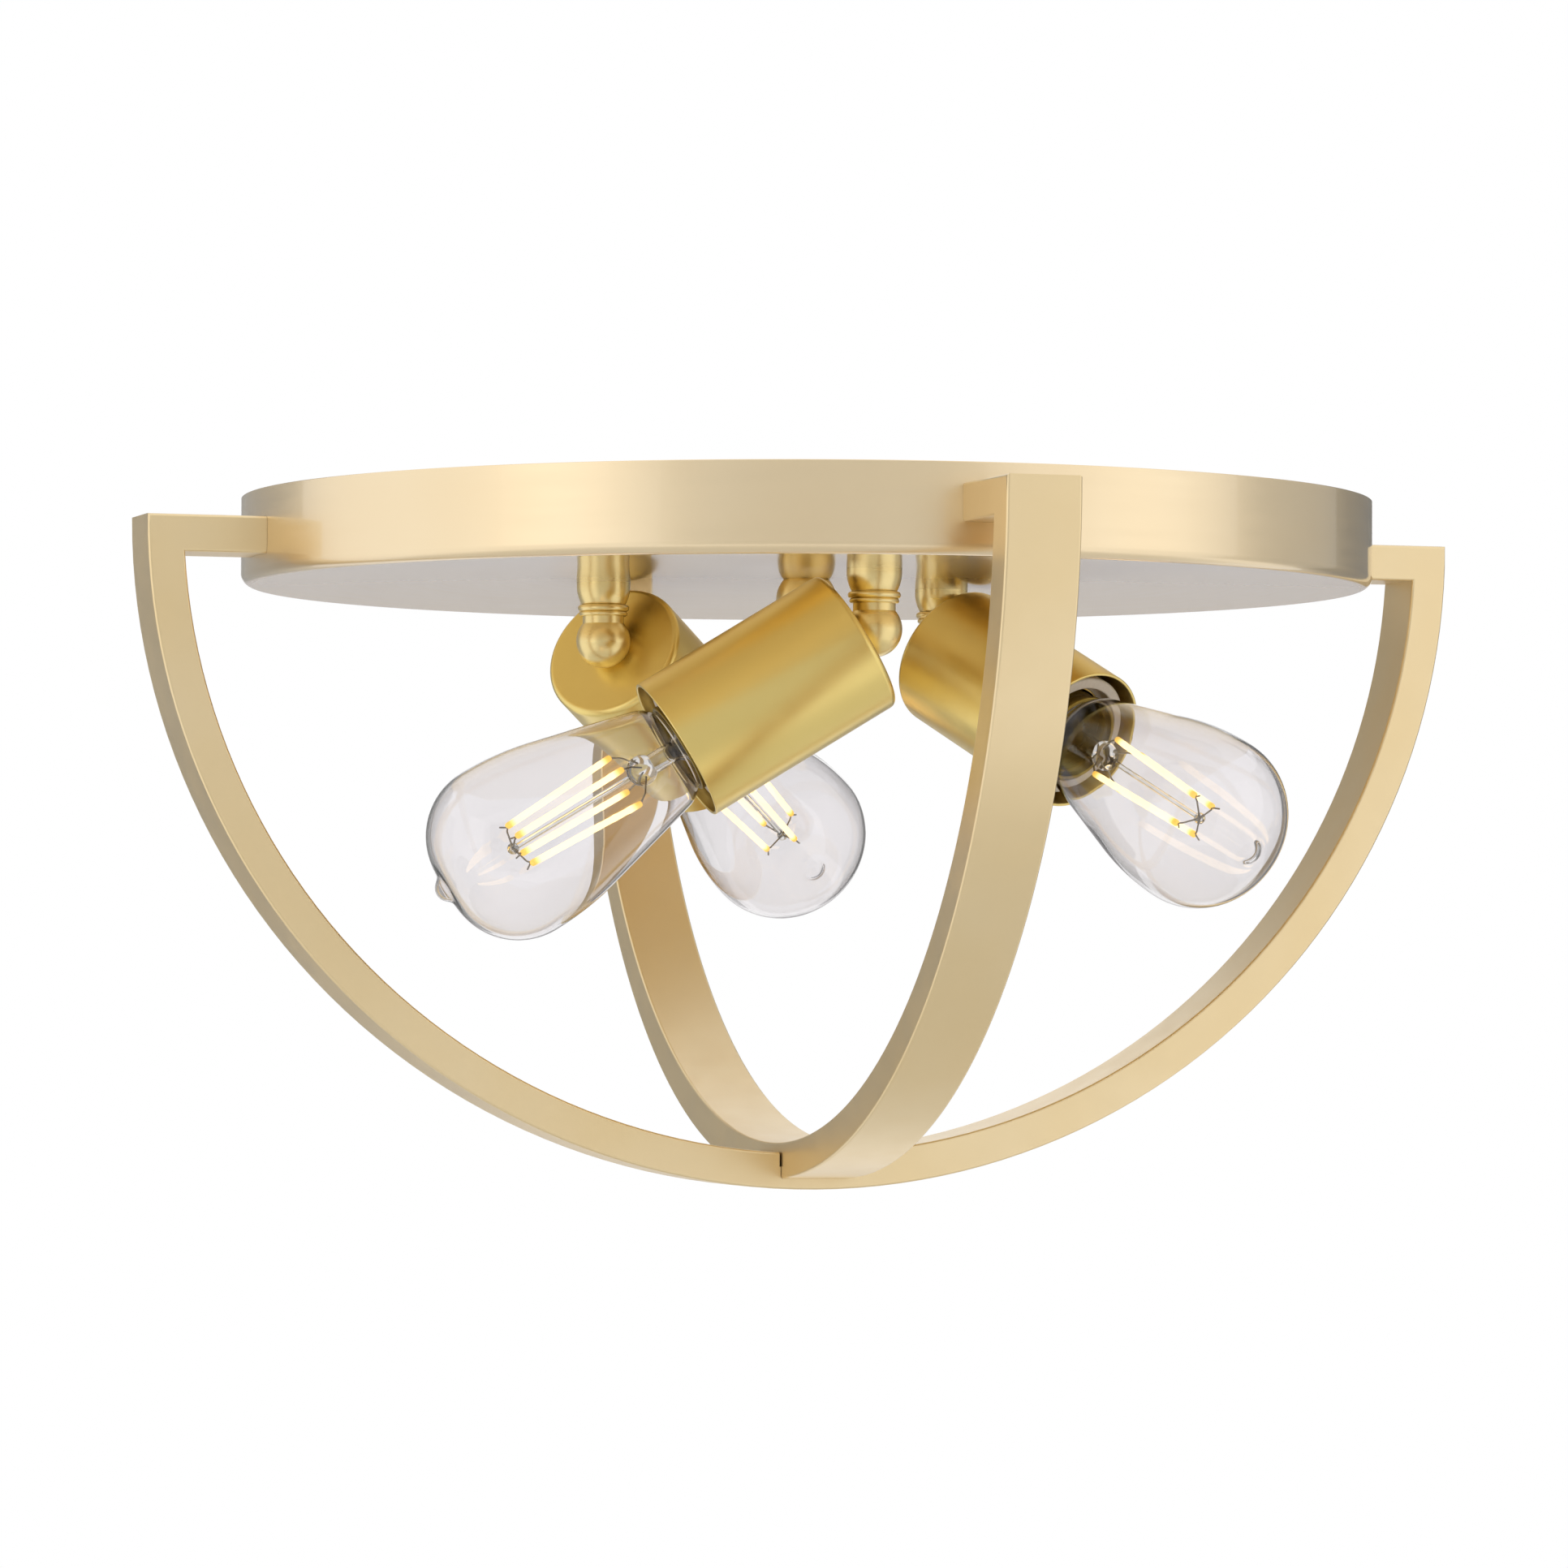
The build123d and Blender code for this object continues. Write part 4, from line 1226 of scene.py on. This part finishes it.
def make_holder(side):
    """The ceramic lampholder, with its recessed mouth and terminal holes."""
    holder = bpy.context.scene.light_holder
    place = lamp_place(side)
    start, end, radius = reach_of(f"{side}_holder_body", place)
    floor, shell_end, shell_radius = reach_of(f"{side}_screw_shell", place)
    shell_bore = shell_radius + 0.1 * MM
    cavity = floor - holder.floor
    back = start + holder.back
    inner_bend, outer_bend = 0.3 * MM, 0.5 * MM
    outline = rounded(
        [
            (start, CUP_HOLE),
            (start, radius, holder.chamfer),
            (end, radius, holder.chamfer),
            (end, holder.mouth, outer_bend),
            (shell_end, holder.mouth, 0.4 * MM),
            (shell_end, shell_bore),
            (floor, shell_bore),
            (floor, CUP_HOLE, inner_bend),
            (cavity, CUP_HOLE, inner_bend),
            (cavity, shell_bore, outer_bend),
            (back, shell_bore, outer_bend),
            (back, CUP_HOLE),
        ]
    )
    body = lathe(f"{side}_holder_ceramic", outline, place)
    wire_hole, wire_spacing = 2 * MM, 19 * MM
    cutters = [
        drill(cavity - MM, floor + MM, wire_hole, place @ Matrix.Translation((0, offset, 0)), 32)
        for offset in (-wire_spacing / 2, wire_spacing / 2)
    ]
    cut(body, *cutters)
    seat(smooth(body), "cream_ceramic", f"{side}_lamp", f"{side}_holder_body")


def make_shell(side):
    """The brass screw shell, rolled to the lamp thread."""
    holder = bpy.context.scene.light_holder
    place = lamp_place(side)
    start, end, radius = reach_of(f"{side}_screw_shell", place)
    wall, floor_hole, roll_depth = holder.shell_wall, 7 * MM, 0.25 * MM
    inside = radius - wall
    outline = [
        Vector((start, floor_hole)),
        Vector((start, radius)),
        Vector((end, radius)),
        Vector((end, inside)),
        Vector((start + wall, inside)),
        Vector((start + wall, floor_hole)),
    ]
    outline = finer(outline, start, end, holder.pitch / 12)
    cuts = thread(start + MM, end, holder.pitch, roll_depth)

    def rule(station, at, reach):
        """The thread, on the side wall alone."""
        return cuts(station, at, reach) if reach > inside - MM / 10 else reach

    shell = lathe(f"{side}_screw_shell_sheet", outline, place, rule, steps=96)
    seat(smooth(shell), "contact_brass", f"{side}_lamp", f"{side}_screw_shell")


# Bulbs


def make_base(side):
    """The bulb's brass base with its rolled thread and the flange round the glass."""
    bulb = bpy.context.scene.light_bulb
    holder = bpy.context.scene.light_holder
    place = lamp_place(side)
    start, end, flange_radius = reach_of(f"{side}_bulb_base", place)
    wall, low_radius, edge = 0.4 * MM, 9 * MM, 0.3 * MM
    crest = bulb.root + holder.depth
    outside = crest - 0.1 * MM
    taper_end = start + bulb.taper
    collar = end - bulb.flange
    neck = reach_of(f"{side}_glass_mount", place)[0]
    outline = rounded(
        [
            (start, low_radius - wall),
            (start, low_radius),
            (taper_end, outside, MM),
            (collar, outside, edge),
            (collar, flange_radius, edge),
            (end, flange_radius, edge),
            (end, crest - wall),
            (neck, crest - wall),
            (neck, bulb.root - wall),
            (taper_end, bulb.root - wall),
        ]
    )
    outline = finer(outline, taper_end, collar, holder.pitch / 14)
    cuts = thread(taper_end, collar - MM, holder.pitch, holder.depth)

    def rule(station, at, reach):
        """The thread, on the outside alone."""
        return cuts(station, at, reach) if reach > crest - wall / 2 else reach

    base = lathe(f"{side}_bulb_base_cap", outline, place, rule)
    seat(smooth(base), "bulb_brass", f"{side}_bulb", f"{side}_bulb_base")


def make_insulator(side):
    """The black glass ring between the base and its tip."""
    place = lamp_place(side)
    start, end, radius = reach_of(f"{side}_bulb_insulator", place)
    tip_radius = 4.5 * MM
    outline = rounded([(end, 0), (end, radius), (start, tip_radius, 0.4 * MM), (start, 0)])
    ring = lathe(f"{side}_bulb_insulator_ring", outline, place, steps=SMALL_TURN_STEPS)
    seat(smooth(ring), "black_glass", f"{side}_bulb", f"{side}_bulb_insulator")


def make_tip(side):
    """The soldered tip contact."""
    place = lamp_place(side)
    start, end, radius = reach_of(f"{side}_bulb_tip", place)
    bend = (radius**2 + (end - start) ** 2) / (2 * (end - start))
    half = radius / bend / 2
    middle = Vector((start + bend * (1 - cos(half)), bend * sin(half)))
    outline = arc((start, 0), middle, (end, radius)) + [Vector((end, 0))]
    drop = lathe(f"{side}_bulb_tip_solder", outline, place, steps=SMALL_TURN_STEPS)
    seat(smooth(drop), "solder", f"{side}_bulb_lift", f"{side}_bulb_tip")


def glass_outline(side, inset):
    """The glass from its neck to its crown, drawn this far inside its outer skin."""
    bulb = bpy.context.scene.light_bulb
    place = lamp_place(side)
    widest = reach_of(f"{side}_bulb_glass", place)[2]
    face = reach_of(f"{side}_bulb_base", place)[1]
    seal = 0.2 * MM
    neck_radius = bulb.root + seal
    flare = bulb.neck_bend * (1 - cos(bulb.flare))
    shoulder = bulb.shoulder_bend * (cos(bulb.flank) - cos(bulb.flare))
    belly = bulb.belly_bend * (1 - cos(bulb.flank))
    flank = (widest - neck_radius - flare - shoulder - belly) / sin(bulb.flank)
    moves = [
        (bulb.neck_bend + inset, bulb.flare),
        (bulb.shoulder_bend - inset, bulb.flank - bulb.flare),
        (flank, 0),
        (bulb.belly_bend - inset, -bulb.flank),
        (bulb.crown_bend - inset, -radians(90)),
    ]
    return walk((face, neck_radius - inset), moves, 28)


def pip_end(skin, tip, radius):
    """A skin of the glass whose crown runs on, in a smooth hollow curve, into a low round tip."""
    middle = skin[0].x + (tip - skin[0].x) / 2
    root = next(at for at, point in enumerate(skin) if point.x > middle and point.y < PIP_SPREAD * radius)
    kept = skin[: root + 1]
    start = kept[-1]
    slope = (kept[-1] - kept[-2]).normalized()
    foot = Vector((tip - radius * (1 - cos(PIP_CAP)), radius * sin(PIP_CAP)))
    lean = Vector((-sin(PIP_CAP), cos(PIP_CAP)))
    reach = PIP_PULL * (start - foot).length
    controls = (start, start + slope * reach, foot + lean * reach, foot)
    curve = []
    for step in range(1, PIP_STEPS + 1):
        s = step / PIP_STEPS
        weights = ((1 - s) ** 3, 3 * s * (1 - s) ** 2, 3 * s * s * (1 - s), s**3)
        curve.append(sum((point * weight for point, weight in zip(controls, weights)), Vector((0, 0))))
    turns = [PIP_CAP * (1 - step / PIP_STEPS) for step in range(1, PIP_STEPS + 1)]
    round_tip = [Vector((tip - radius * (1 - cos(turn)), radius * sin(turn))) for turn in turns]
    round_tip[-1].y = 0.0
    return kept + curve + round_tip


def make_glass(side):
    """The blown bulb, with an even wall and a drawn out, sealed pip."""
    bulb = bpy.context.scene.light_bulb
    place = lamp_place(side)
    start, end, _ = reach_of(f"{side}_bulb_glass", place)
    outer = glass_outline(side, 0)
    inner = glass_outline(side, bulb.glass_wall)
    neck = Vector((start, outer[0].y))
    tip_wall = 1.3 * bulb.glass_wall
    outline = [neck] + pip_end(outer, end, bulb.pip)
    outline += pip_end(inner, end - tip_wall, bulb.pip - bulb.glass_wall)[::-1]
    outline.append(Vector((start, inner[0].y)))
    glass = lathe(f"{side}_bulb_glass_blown", outline, place, steps=160)
    for polygon in glass.data.polygons:
        polygon.use_smooth = True
    seat(glass, "clear_glass", f"{side}_bulb", f"{side}_bulb_glass")


def make_mount(side):
    """The glass mount: a flare sealed in the neck, a tube, a pinched press, a rod and a far bead."""
    place = lamp_place(side)
    start, end, flare_radius = reach_of(f"{side}_glass_mount", place)
    face = reach_of(f"{side}_bulb_base", place)[1]
    tube, wall, rod, press_radius, flare = 3.0 * MM, 0.8 * MM, 0.8 * MM, 4.5 * MM, 6.1 * MM
    flare_end = start + flare
    press = face + PRESS_REACH
    press_start = press - sqrt(press_radius**2 - tube**2)
    press_end = press + sqrt(press_radius**2 - rod**2)
    bead = end - FAR_BEAD
    bead_start = bead - sqrt(FAR_BEAD**2 - rod**2)
    bend = (start + 0.45 * flare, 0.55 * flare_radius)
    pinch_reach, pinch_depth = 1.3 * press_radius, 0.5
    outline = arc((start, flare_radius), bend, (flare_end, tube))
    outline += arc((press_start, tube), (press, press_radius), (press_end, rod), 32)
    outline += arc((bead_start, rod), (bead, FAR_BEAD), (end, 0), 16)
    outline += [Vector((press_start, 0)), Vector((press_start, tube - wall))]
    outline += arc(
        (flare_end, tube - wall), (bend[0] - wall, bend[1] - wall), (start, flare_radius - wall)
    )
    outline[-1] = Vector((start, flare_radius - wall))
    for point in outline:
        if point.y < MM / 100:
            point.y = 0.0

    def pinched(station, at, radius):
        """Flattened across its width where the press closed on it."""
        near = max(0.0, 1 - ((station - press) / pinch_reach) ** 2)
        return radius * (1 - pinch_depth * near * sin(at) ** 2)

    mount = lathe(f"{side}_glass_mount_stem", outline, place, pinched, SMALL_TURN_STEPS)
    seat(smooth(mount), "stem_glass", f"{side}_bulb", f"{side}_glass_mount")


def turn_about(piece, side, count, start, slot):
    """Repeat a piece round a lamp's axis."""
    place = lamp_place(side)
    back = place.inverted()
    piece.data.transform(back)
    grow(piece, turned_copies(), count=count, start=start, axis=(1, 0, 0), material=finish_of(slot))
    piece.data.transform(place)


def stick_ends(side):
    """Both ends of the first filament stick, in the lamp's own place."""
    bulb = bpy.context.scene.light_bulb
    place = lamp_place(side)
    start, end, _ = reach_of(f"{side}_filaments", place)
    return Vector((start, bulb.near_circle, 0)), Vector((end, bulb.far_circle, 0))


def make_sticks(side):
    """The lit filament sticks: a round of slim silicone rods that lean in towards the tip."""
    bulb = bpy.context.scene.light_bulb
    place = lamp_place(side)
    near, far = stick_ends(side)
    run = far - near
    spin = Matrix.Rotation(atan2(run.y, run.x), 4, "Z")
    lie = place @ Matrix.Translation(near) @ spin
    radius = bulb.stick_radius
    bend = 0.8 * radius
    outline = rounded([(0, 0), (0, radius, bend), (run.length, radius, bend), (run.length, 0)])
    outline = finer(outline, 0, run.length, 0.6 * MM)
    swelling, fast, slow = 0.05, 1.9 / MM, 0.7 / MM

    def lumpy(station, at, reach):
        """Silicone that ran a little before it set."""
        ripple = sin(station * fast) * cos(station * slow)
        return reach * (1 - swelling - swelling * ripple)

    stick = lathe(f"{side}_filament_sticks", outline, lie, lumpy, 20)
    back = lie.inverted()
    along = stick.data.attributes.new("along", "FLOAT", "POINT")
    along.data.foreach_set("value", [(back @ v.co).x / run.length for v in stick.data.vertices])
    turn_about(stick, side, bulb.stick_count, bulb.stick_turn, "led_stick")
    for polygon in stick.data.polygons:
        polygon.use_smooth = True
    seat(stick, "led_stick", f"{side}_bulb", f"{side}_filaments")


def make_wires(side):
    """The wires that carry the sticks, from the press to the near ends and from the bead to the far ends."""
    bulb = bpy.context.scene.light_bulb
    place = lamp_place(side)
    near, far = stick_ends(side)
    bead = reach_of(f"{side}_glass_mount", place)[1] - FAR_BEAD
    press = reach_of(f"{side}_bulb_base", place)[1] + PRESS_REACH
    wire, bend, press_side, weld = 0.25 * MM, 1.0 * MM, 2.2 * MM, 0.6 * MM
    from_press = [
        Vector((press, press_side, 0)),
        Vector((near.x - 2.4 * MM, 0.75 * near.y, 0)),
        Vector((near.x + weld, near.y, 0)),
    ]
    from_bead = [
        Vector((bead, 0, 0)),
        Vector((far.x + 0.4 * MM, 0.8 * far.y, 0)),
        Vector((far.x - weld, far.y, 0)),
    ]
    spare_end = [
        Vector((far.x - weld / 2, far.y - weld / 2, 0)),
        Vector((far.x + 1.6 * MM, far.y + 1.0 * MM, 0)),
    ]
    shape = bmesh.new()
    for run in (from_press, from_bead, spare_end):
        verts = [shape.verts.new(place @ point) for point in run]
        for here, after in zip(verts, verts[1:]):
            shape.edges.new((here, after))
    mesh = bpy.data.meshes.new(f"{side}_support_wire_set")
    shape.to_mesh(mesh)
    shape.free()
    wires = new_piece(f"{side}_support_wire_set", mesh)
    grow(wires, drawn_wire(), wire_radius=wire, bend=bend, material=finish_of("bright_wire"))
    turn_about(wires, side, bulb.stick_count, bulb.stick_turn, "bright_wire")
    for polygon in wires.data.polygons:
        polygon.use_smooth = True
    seat(wires, "bright_wire", f"{side}_bulb", f"{side}_support_wires")


def dress(node, slot):
    """Give a CAD node that keeps its own mesh the material of its slot."""
    body = frame["nodes"][node]
    body.data.materials.clear()
    body.data.materials.append(finish_of(slot))


# Stage

# Name, its two greys, from and to angle in degrees, bottom, top and distance in metres
CARDS = (
    ("card_behind_camera", "#E8E8E7", "#E2E2E1", -28, 34, -1.6, 1.6, 2.6),
    ("card_back_left", "#B4B4B3", "#ACACAB", -166, -118, -1.2, 1.4, 2.2),
    ("card_back_right", "#8A8A89", "#828281", 130, 166, -1.2, 1.4, 2.2),
    ("card_right", "#D0D0CF", "#C8C8C7", 92, 130, -1.2, 1.4, 2.2),
)
# Not seen through the glass, so that the bulbs stay as pale as the wall behind them
CARD_BEHIND_PAN = ("card_low_behind", "#D6D3D4", "#CCC9CA", 166, 194, -0.9, -0.03, 2.2)
# Name, place in metres, power in watts and tint
SOFTBOXES = (
    ("left_softbox", (-2.2, -0.9, 0.5), 1.4, "#FFFDFA"),
    ("right_softbox", (1.9, -1.6, 0.5), 0.8, "#FFFBF6"),
)


def pale_board():
    """Matte painted board: pale grey, with the faint unevenness of rolled paint."""
    return mottled("rolled_grey_board", "#DEDEDC", "#D8D8D6", 30 * MM, 0.7, 0.85, 0.1 * MM)


def make_floor():
    """A plain pale floor, well below the light."""
    stage = bpy.context.scene.light_stage
    top, radius = -stage.floor_drop, stage.floor_radius
    bottom = top - 10 * MM
    floor = lathe("studio_floor", [(bottom, 0), (bottom, radius), (top, radius), (top, 0)], upright())
    floor.data.materials.append(pale_board())


def make_world():
    """A plain white room, as bright as white paper."""
    world = bpy.data.worlds.new("white_studio")
    bpy.context.scene.world = world
    world.use_nodes = True
    tree = world.node_tree
    tree.nodes.clear()
    white = add_node(tree, "ShaderNodeBackground", {"Color": linear("#FFFFFF"), "Strength": 1.0})
    add_node(tree, "ShaderNodeOutputWorld", {"Surface": white.outputs["Background"]})


def make_card(name, light, dark, start, end, low, high, distance):
    """A curved grey card round the light, unseen by the camera, for the metal and glass to mirror.

    The angles count from the camera's side, positive to the right of its picture.
    """
    stage = bpy.context.scene.light_stage
    steps, thickness = 24, 0.01
    rings = []
    for radius in (distance, distance + thickness):
        turns = [
            stage.camera_yaw + radians(start + (end - start) * step / steps) for step in range(steps + 1)
        ]
        rings.append([(radius * sin(turn), -radius * cos(turn)) for turn in turns])
    card = prism(name, rings[0] + rings[1][::-1], low, high, Matrix.Identity(4))
    card.data.materials.append(mottled(f"{name}_felt", light, dark, 30 * MM, 0.9, 1.0, 0.1 * MM))
    card.visible_camera = False
    return card


def make_softbox(name, place, power, tint):
    """A soft upright lamp that points at the light."""
    width, height, target = 1.0, 1.6, (0.0, 0.0, -0.1)
    lamp = bpy.data.lights.new(name, "AREA")
    lamp.shape = "RECTANGLE"
    lamp.size = width
    lamp.size_y = height
    lamp.energy = power
    lamp.color = linear(tint)[:3]
    box = bpy.data.objects.new(name, lamp)
    bpy.context.scene.collection.objects.link(box)
    box.location = place
    box.rotation_euler = (Vector(target) - Vector(place)).to_track_quat("-Z", "Y").to_euler()


def make_camera():
    """The camera, at the photograph's viewing angle."""
    stage = bpy.context.scene.light_stage
    data = bpy.data.cameras.new("photo_camera")
    data.lens = stage.focal_length
    data.sensor_width = 36.0
    data.clip_end = 100.0
    camera = bpy.data.objects.new("photo_camera", data)
    bpy.context.scene.collection.objects.link(camera)
    flat = Vector((sin(stage.camera_yaw), -cos(stage.camera_yaw), 0))
    away = flat * cos(stage.camera_rise) + Vector((0, 0, sin(stage.camera_rise)))
    right = Vector((0, 0, 1)).cross(away).normalized()
    above = away.cross(right)
    turn = Matrix((right, above, away)).transposed() @ Matrix.Rotation(-stage.camera_roll, 3, "Z")
    spot = Vector(stage.target) + away * stage.camera_distance
    camera.matrix_world = Matrix.Translation(spot) @ turn.to_4x4()
    bpy.context.scene.camera = camera


# Operators


class BuildPiece:
    """What every operator here shares."""

    bl_options = {"REGISTER", "UNDO"}


class LIGHT_OT_pan(BuildPiece, bpy.types.Operator):
    """Build the ceiling pan"""

    bl_idname = "ceiling_light.pan"
    bl_label = "Ceiling pan"

    def execute(self, context):
        make_pan()
        return {"FINISHED"}


class LIGHT_OT_hanging(BuildPiece, bpy.types.Operator):
    """Build the crossbar with its nipple, nut and ground screw, and the ball finial"""

    bl_idname = "ceiling_light.hanging"
    bl_label = "Crossbar and finial"

    def execute(self, context):
        wire_hole, flats = 3.4 * MM, 14 * MM
        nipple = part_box("crossbar_nipple")[1].x
        make_crossbar()
        make_nipple("crossbar_nipple_tube", "crossbar_nipple", upright(), wire_hole, "root")
        make_nut("crossbar_lock_nut", "crossbar_nut", upright(), flats, nipple, "root")
        make_finial()
        make_ground_screw()
        return {"FINISHED"}


class LIGHT_OT_hoops(BuildPiece, bpy.types.Operator):
    """Build the two half hoops and the screws of their arms"""

    bl_idname = "ceiling_light.hoops"
    bl_label = "Half hoops"

    def execute(self, context):
        make_hoop("side_hoop", 0.0, True)
        make_hoop("front_hoop", radians(90), False)
        make_hoop_screws()
        return {"FINISHED"}


class LIGHT_OT_stems(BuildPiece, bpy.types.Operator):
    """Build the collars, swivel balls, washers and nuts of the lamps"""

    bl_idname = "ceiling_light.stems"
    bl_label = "Stems"

    def execute(self, context):
        flats, shank = 14 * MM, context.scene.light_stem.shank
        make_washers()
        for side in SIDES:
            foot = ball_middle(side)
            place = upright(foot.x, foot.y)
            make_collar(side)
            make_swivel_ball(side)
            make_nut(f"{side}_stem_lock_nut", f"{side}_stem_nut", place, flats, shank, f"{side}_lamp")
        return {"FINISHED"}


class LIGHT_OT_cups(BuildPiece, bpy.types.Operator):
    """Build the lamp cups with their nipples and nuts"""

    bl_idname = "ceiling_light.cups"
    bl_label = "Cups"

    def execute(self, context):
        wire_hole, flats, bore = 2.5 * MM, 12 * MM, 4 * MM
        for side in SIDES:
            place, lamp = lamp_place(side), f"{side}_lamp"
            make_cup(side)
            make_nipple(f"{side}_cup_nipple_tube", f"{side}_cup_nipple", place, wire_hole, lamp)
            make_nut(f"{side}_cup_lock_nut", f"{side}_cup_nut", place, flats, bore, lamp)
        return {"FINISHED"}


class LIGHT_OT_holders(BuildPiece, bpy.types.Operator):
    """Build the ceramic lampholders with their brass contacts"""

    bl_idname = "ceiling_light.holders"
    bl_label = "Lampholders"

    def execute(self, context):
        for side in SIDES:
            make_holder(side)
            make_shell(side)
            dress(f"{side}_centre_contact", "contact_brass")
        return {"FINISHED"}


class LIGHT_OT_bases(BuildPiece, bpy.types.Operator):
    """Build the screw bases of the bulbs"""

    bl_idname = "ceiling_light.bases"
    bl_label = "Bulb bases"

    def execute(self, context):
        for side in SIDES:
            make_base(side)
            make_insulator(side)
            make_tip(side)
        return {"FINISHED"}


class LIGHT_OT_glass(BuildPiece, bpy.types.Operator):
    """Build the bulbs' glass and the mounts inside it"""

    bl_idname = "ceiling_light.glass"
    bl_label = "Bulb glass"

    def execute(self, context):
        for side in SIDES:
            make_glass(side)
            make_mount(side)
        return {"FINISHED"}


class LIGHT_OT_filaments(BuildPiece, bpy.types.Operator):
    """Build the filament sticks and their wires"""

    bl_idname = "ceiling_light.filaments"
    bl_label = "Filaments"

    def execute(self, context):
        for side in SIDES:
            make_sticks(side)
            make_wires(side)
        return {"FINISHED"}


class LIGHT_OT_stage(BuildPiece, bpy.types.Operator):
    """Build the floor, the background, the grey cards, the softboxes and the camera"""

    bl_idname = "ceiling_light.stage"
    bl_label = "Stage"

    def execute(self, context):
        context.scene.view_settings.view_transform = "Standard"
        make_floor()
        make_world()
        for card in CARDS:
            make_card(*card)
        make_card(*CARD_BEHIND_PAN).visible_transmission = False
        for softbox in SOFTBOXES:
            make_softbox(*softbox)
        make_camera()
        return {"FINISHED"}


class LIGHT_PT_sidebar(bpy.types.Panel):
    """Lists the operators and sizes of the ceiling light"""

    bl_idname = "LIGHT_PT_sidebar"
    bl_label = "Ceiling light"
    bl_space_type = "VIEW_3D"
    bl_region_type = "UI"
    bl_category = "Ceiling light"

    def draw(self, context):
        for operator in OPERATORS:
            self.layout.operator(operator.bl_idname)
        for name in SETTINGS:
            box = self.layout.box()
            group = getattr(context.scene, name)
            for key in group.bl_rna.properties.keys():
                if key not in {"rna_type", "name"}:
                    box.prop(group, key)


SETTINGS = {
    "light_pan": LightPanSettings,
    "light_hoop": LightHoopSettings,
    "light_stem": LightStemSettings,
    "light_cup": LightCupSettings,
    "light_holder": LightHolderSettings,
    "light_bulb": LightBulbSettings,
    "light_stage": LightStageSettings,
}
OPERATORS = (
    LIGHT_OT_pan,
    LIGHT_OT_hanging,
    LIGHT_OT_hoops,
    LIGHT_OT_stems,
    LIGHT_OT_cups,
    LIGHT_OT_holders,
    LIGHT_OT_bases,
    LIGHT_OT_glass,
    LIGHT_OT_filaments,
    LIGHT_OT_stage,
)


def register():
    """Register the settings, operators and panel."""
    for name, group in SETTINGS.items():
        bpy.utils.register_class(group)
        setattr(bpy.types.Scene, name, PointerProperty(type=group))
    for kind in (*OPERATORS, LIGHT_PT_sidebar):
        bpy.utils.register_class(kind)


def unregister():
    """Take the panel, operators and settings away again."""
    for kind in (LIGHT_PT_sidebar, *reversed(OPERATORS)):
        bpy.utils.unregister_class(kind)
    for name, group in SETTINGS.items():
        delattr(bpy.types.Scene, name)
        bpy.utils.unregister_class(group)


def main():
    """Build the whole light."""
    register()
    bpy.ops.ceiling_light.pan()
    bpy.ops.ceiling_light.hanging()
    bpy.ops.ceiling_light.hoops()
    bpy.ops.ceiling_light.stems()
    bpy.ops.ceiling_light.cups()
    bpy.ops.ceiling_light.holders()
    bpy.ops.ceiling_light.bases()
    bpy.ops.ceiling_light.glass()
    bpy.ops.ceiling_light.filaments()
    bpy.ops.ceiling_light.stage()


if __name__ == "__main__":
    main()
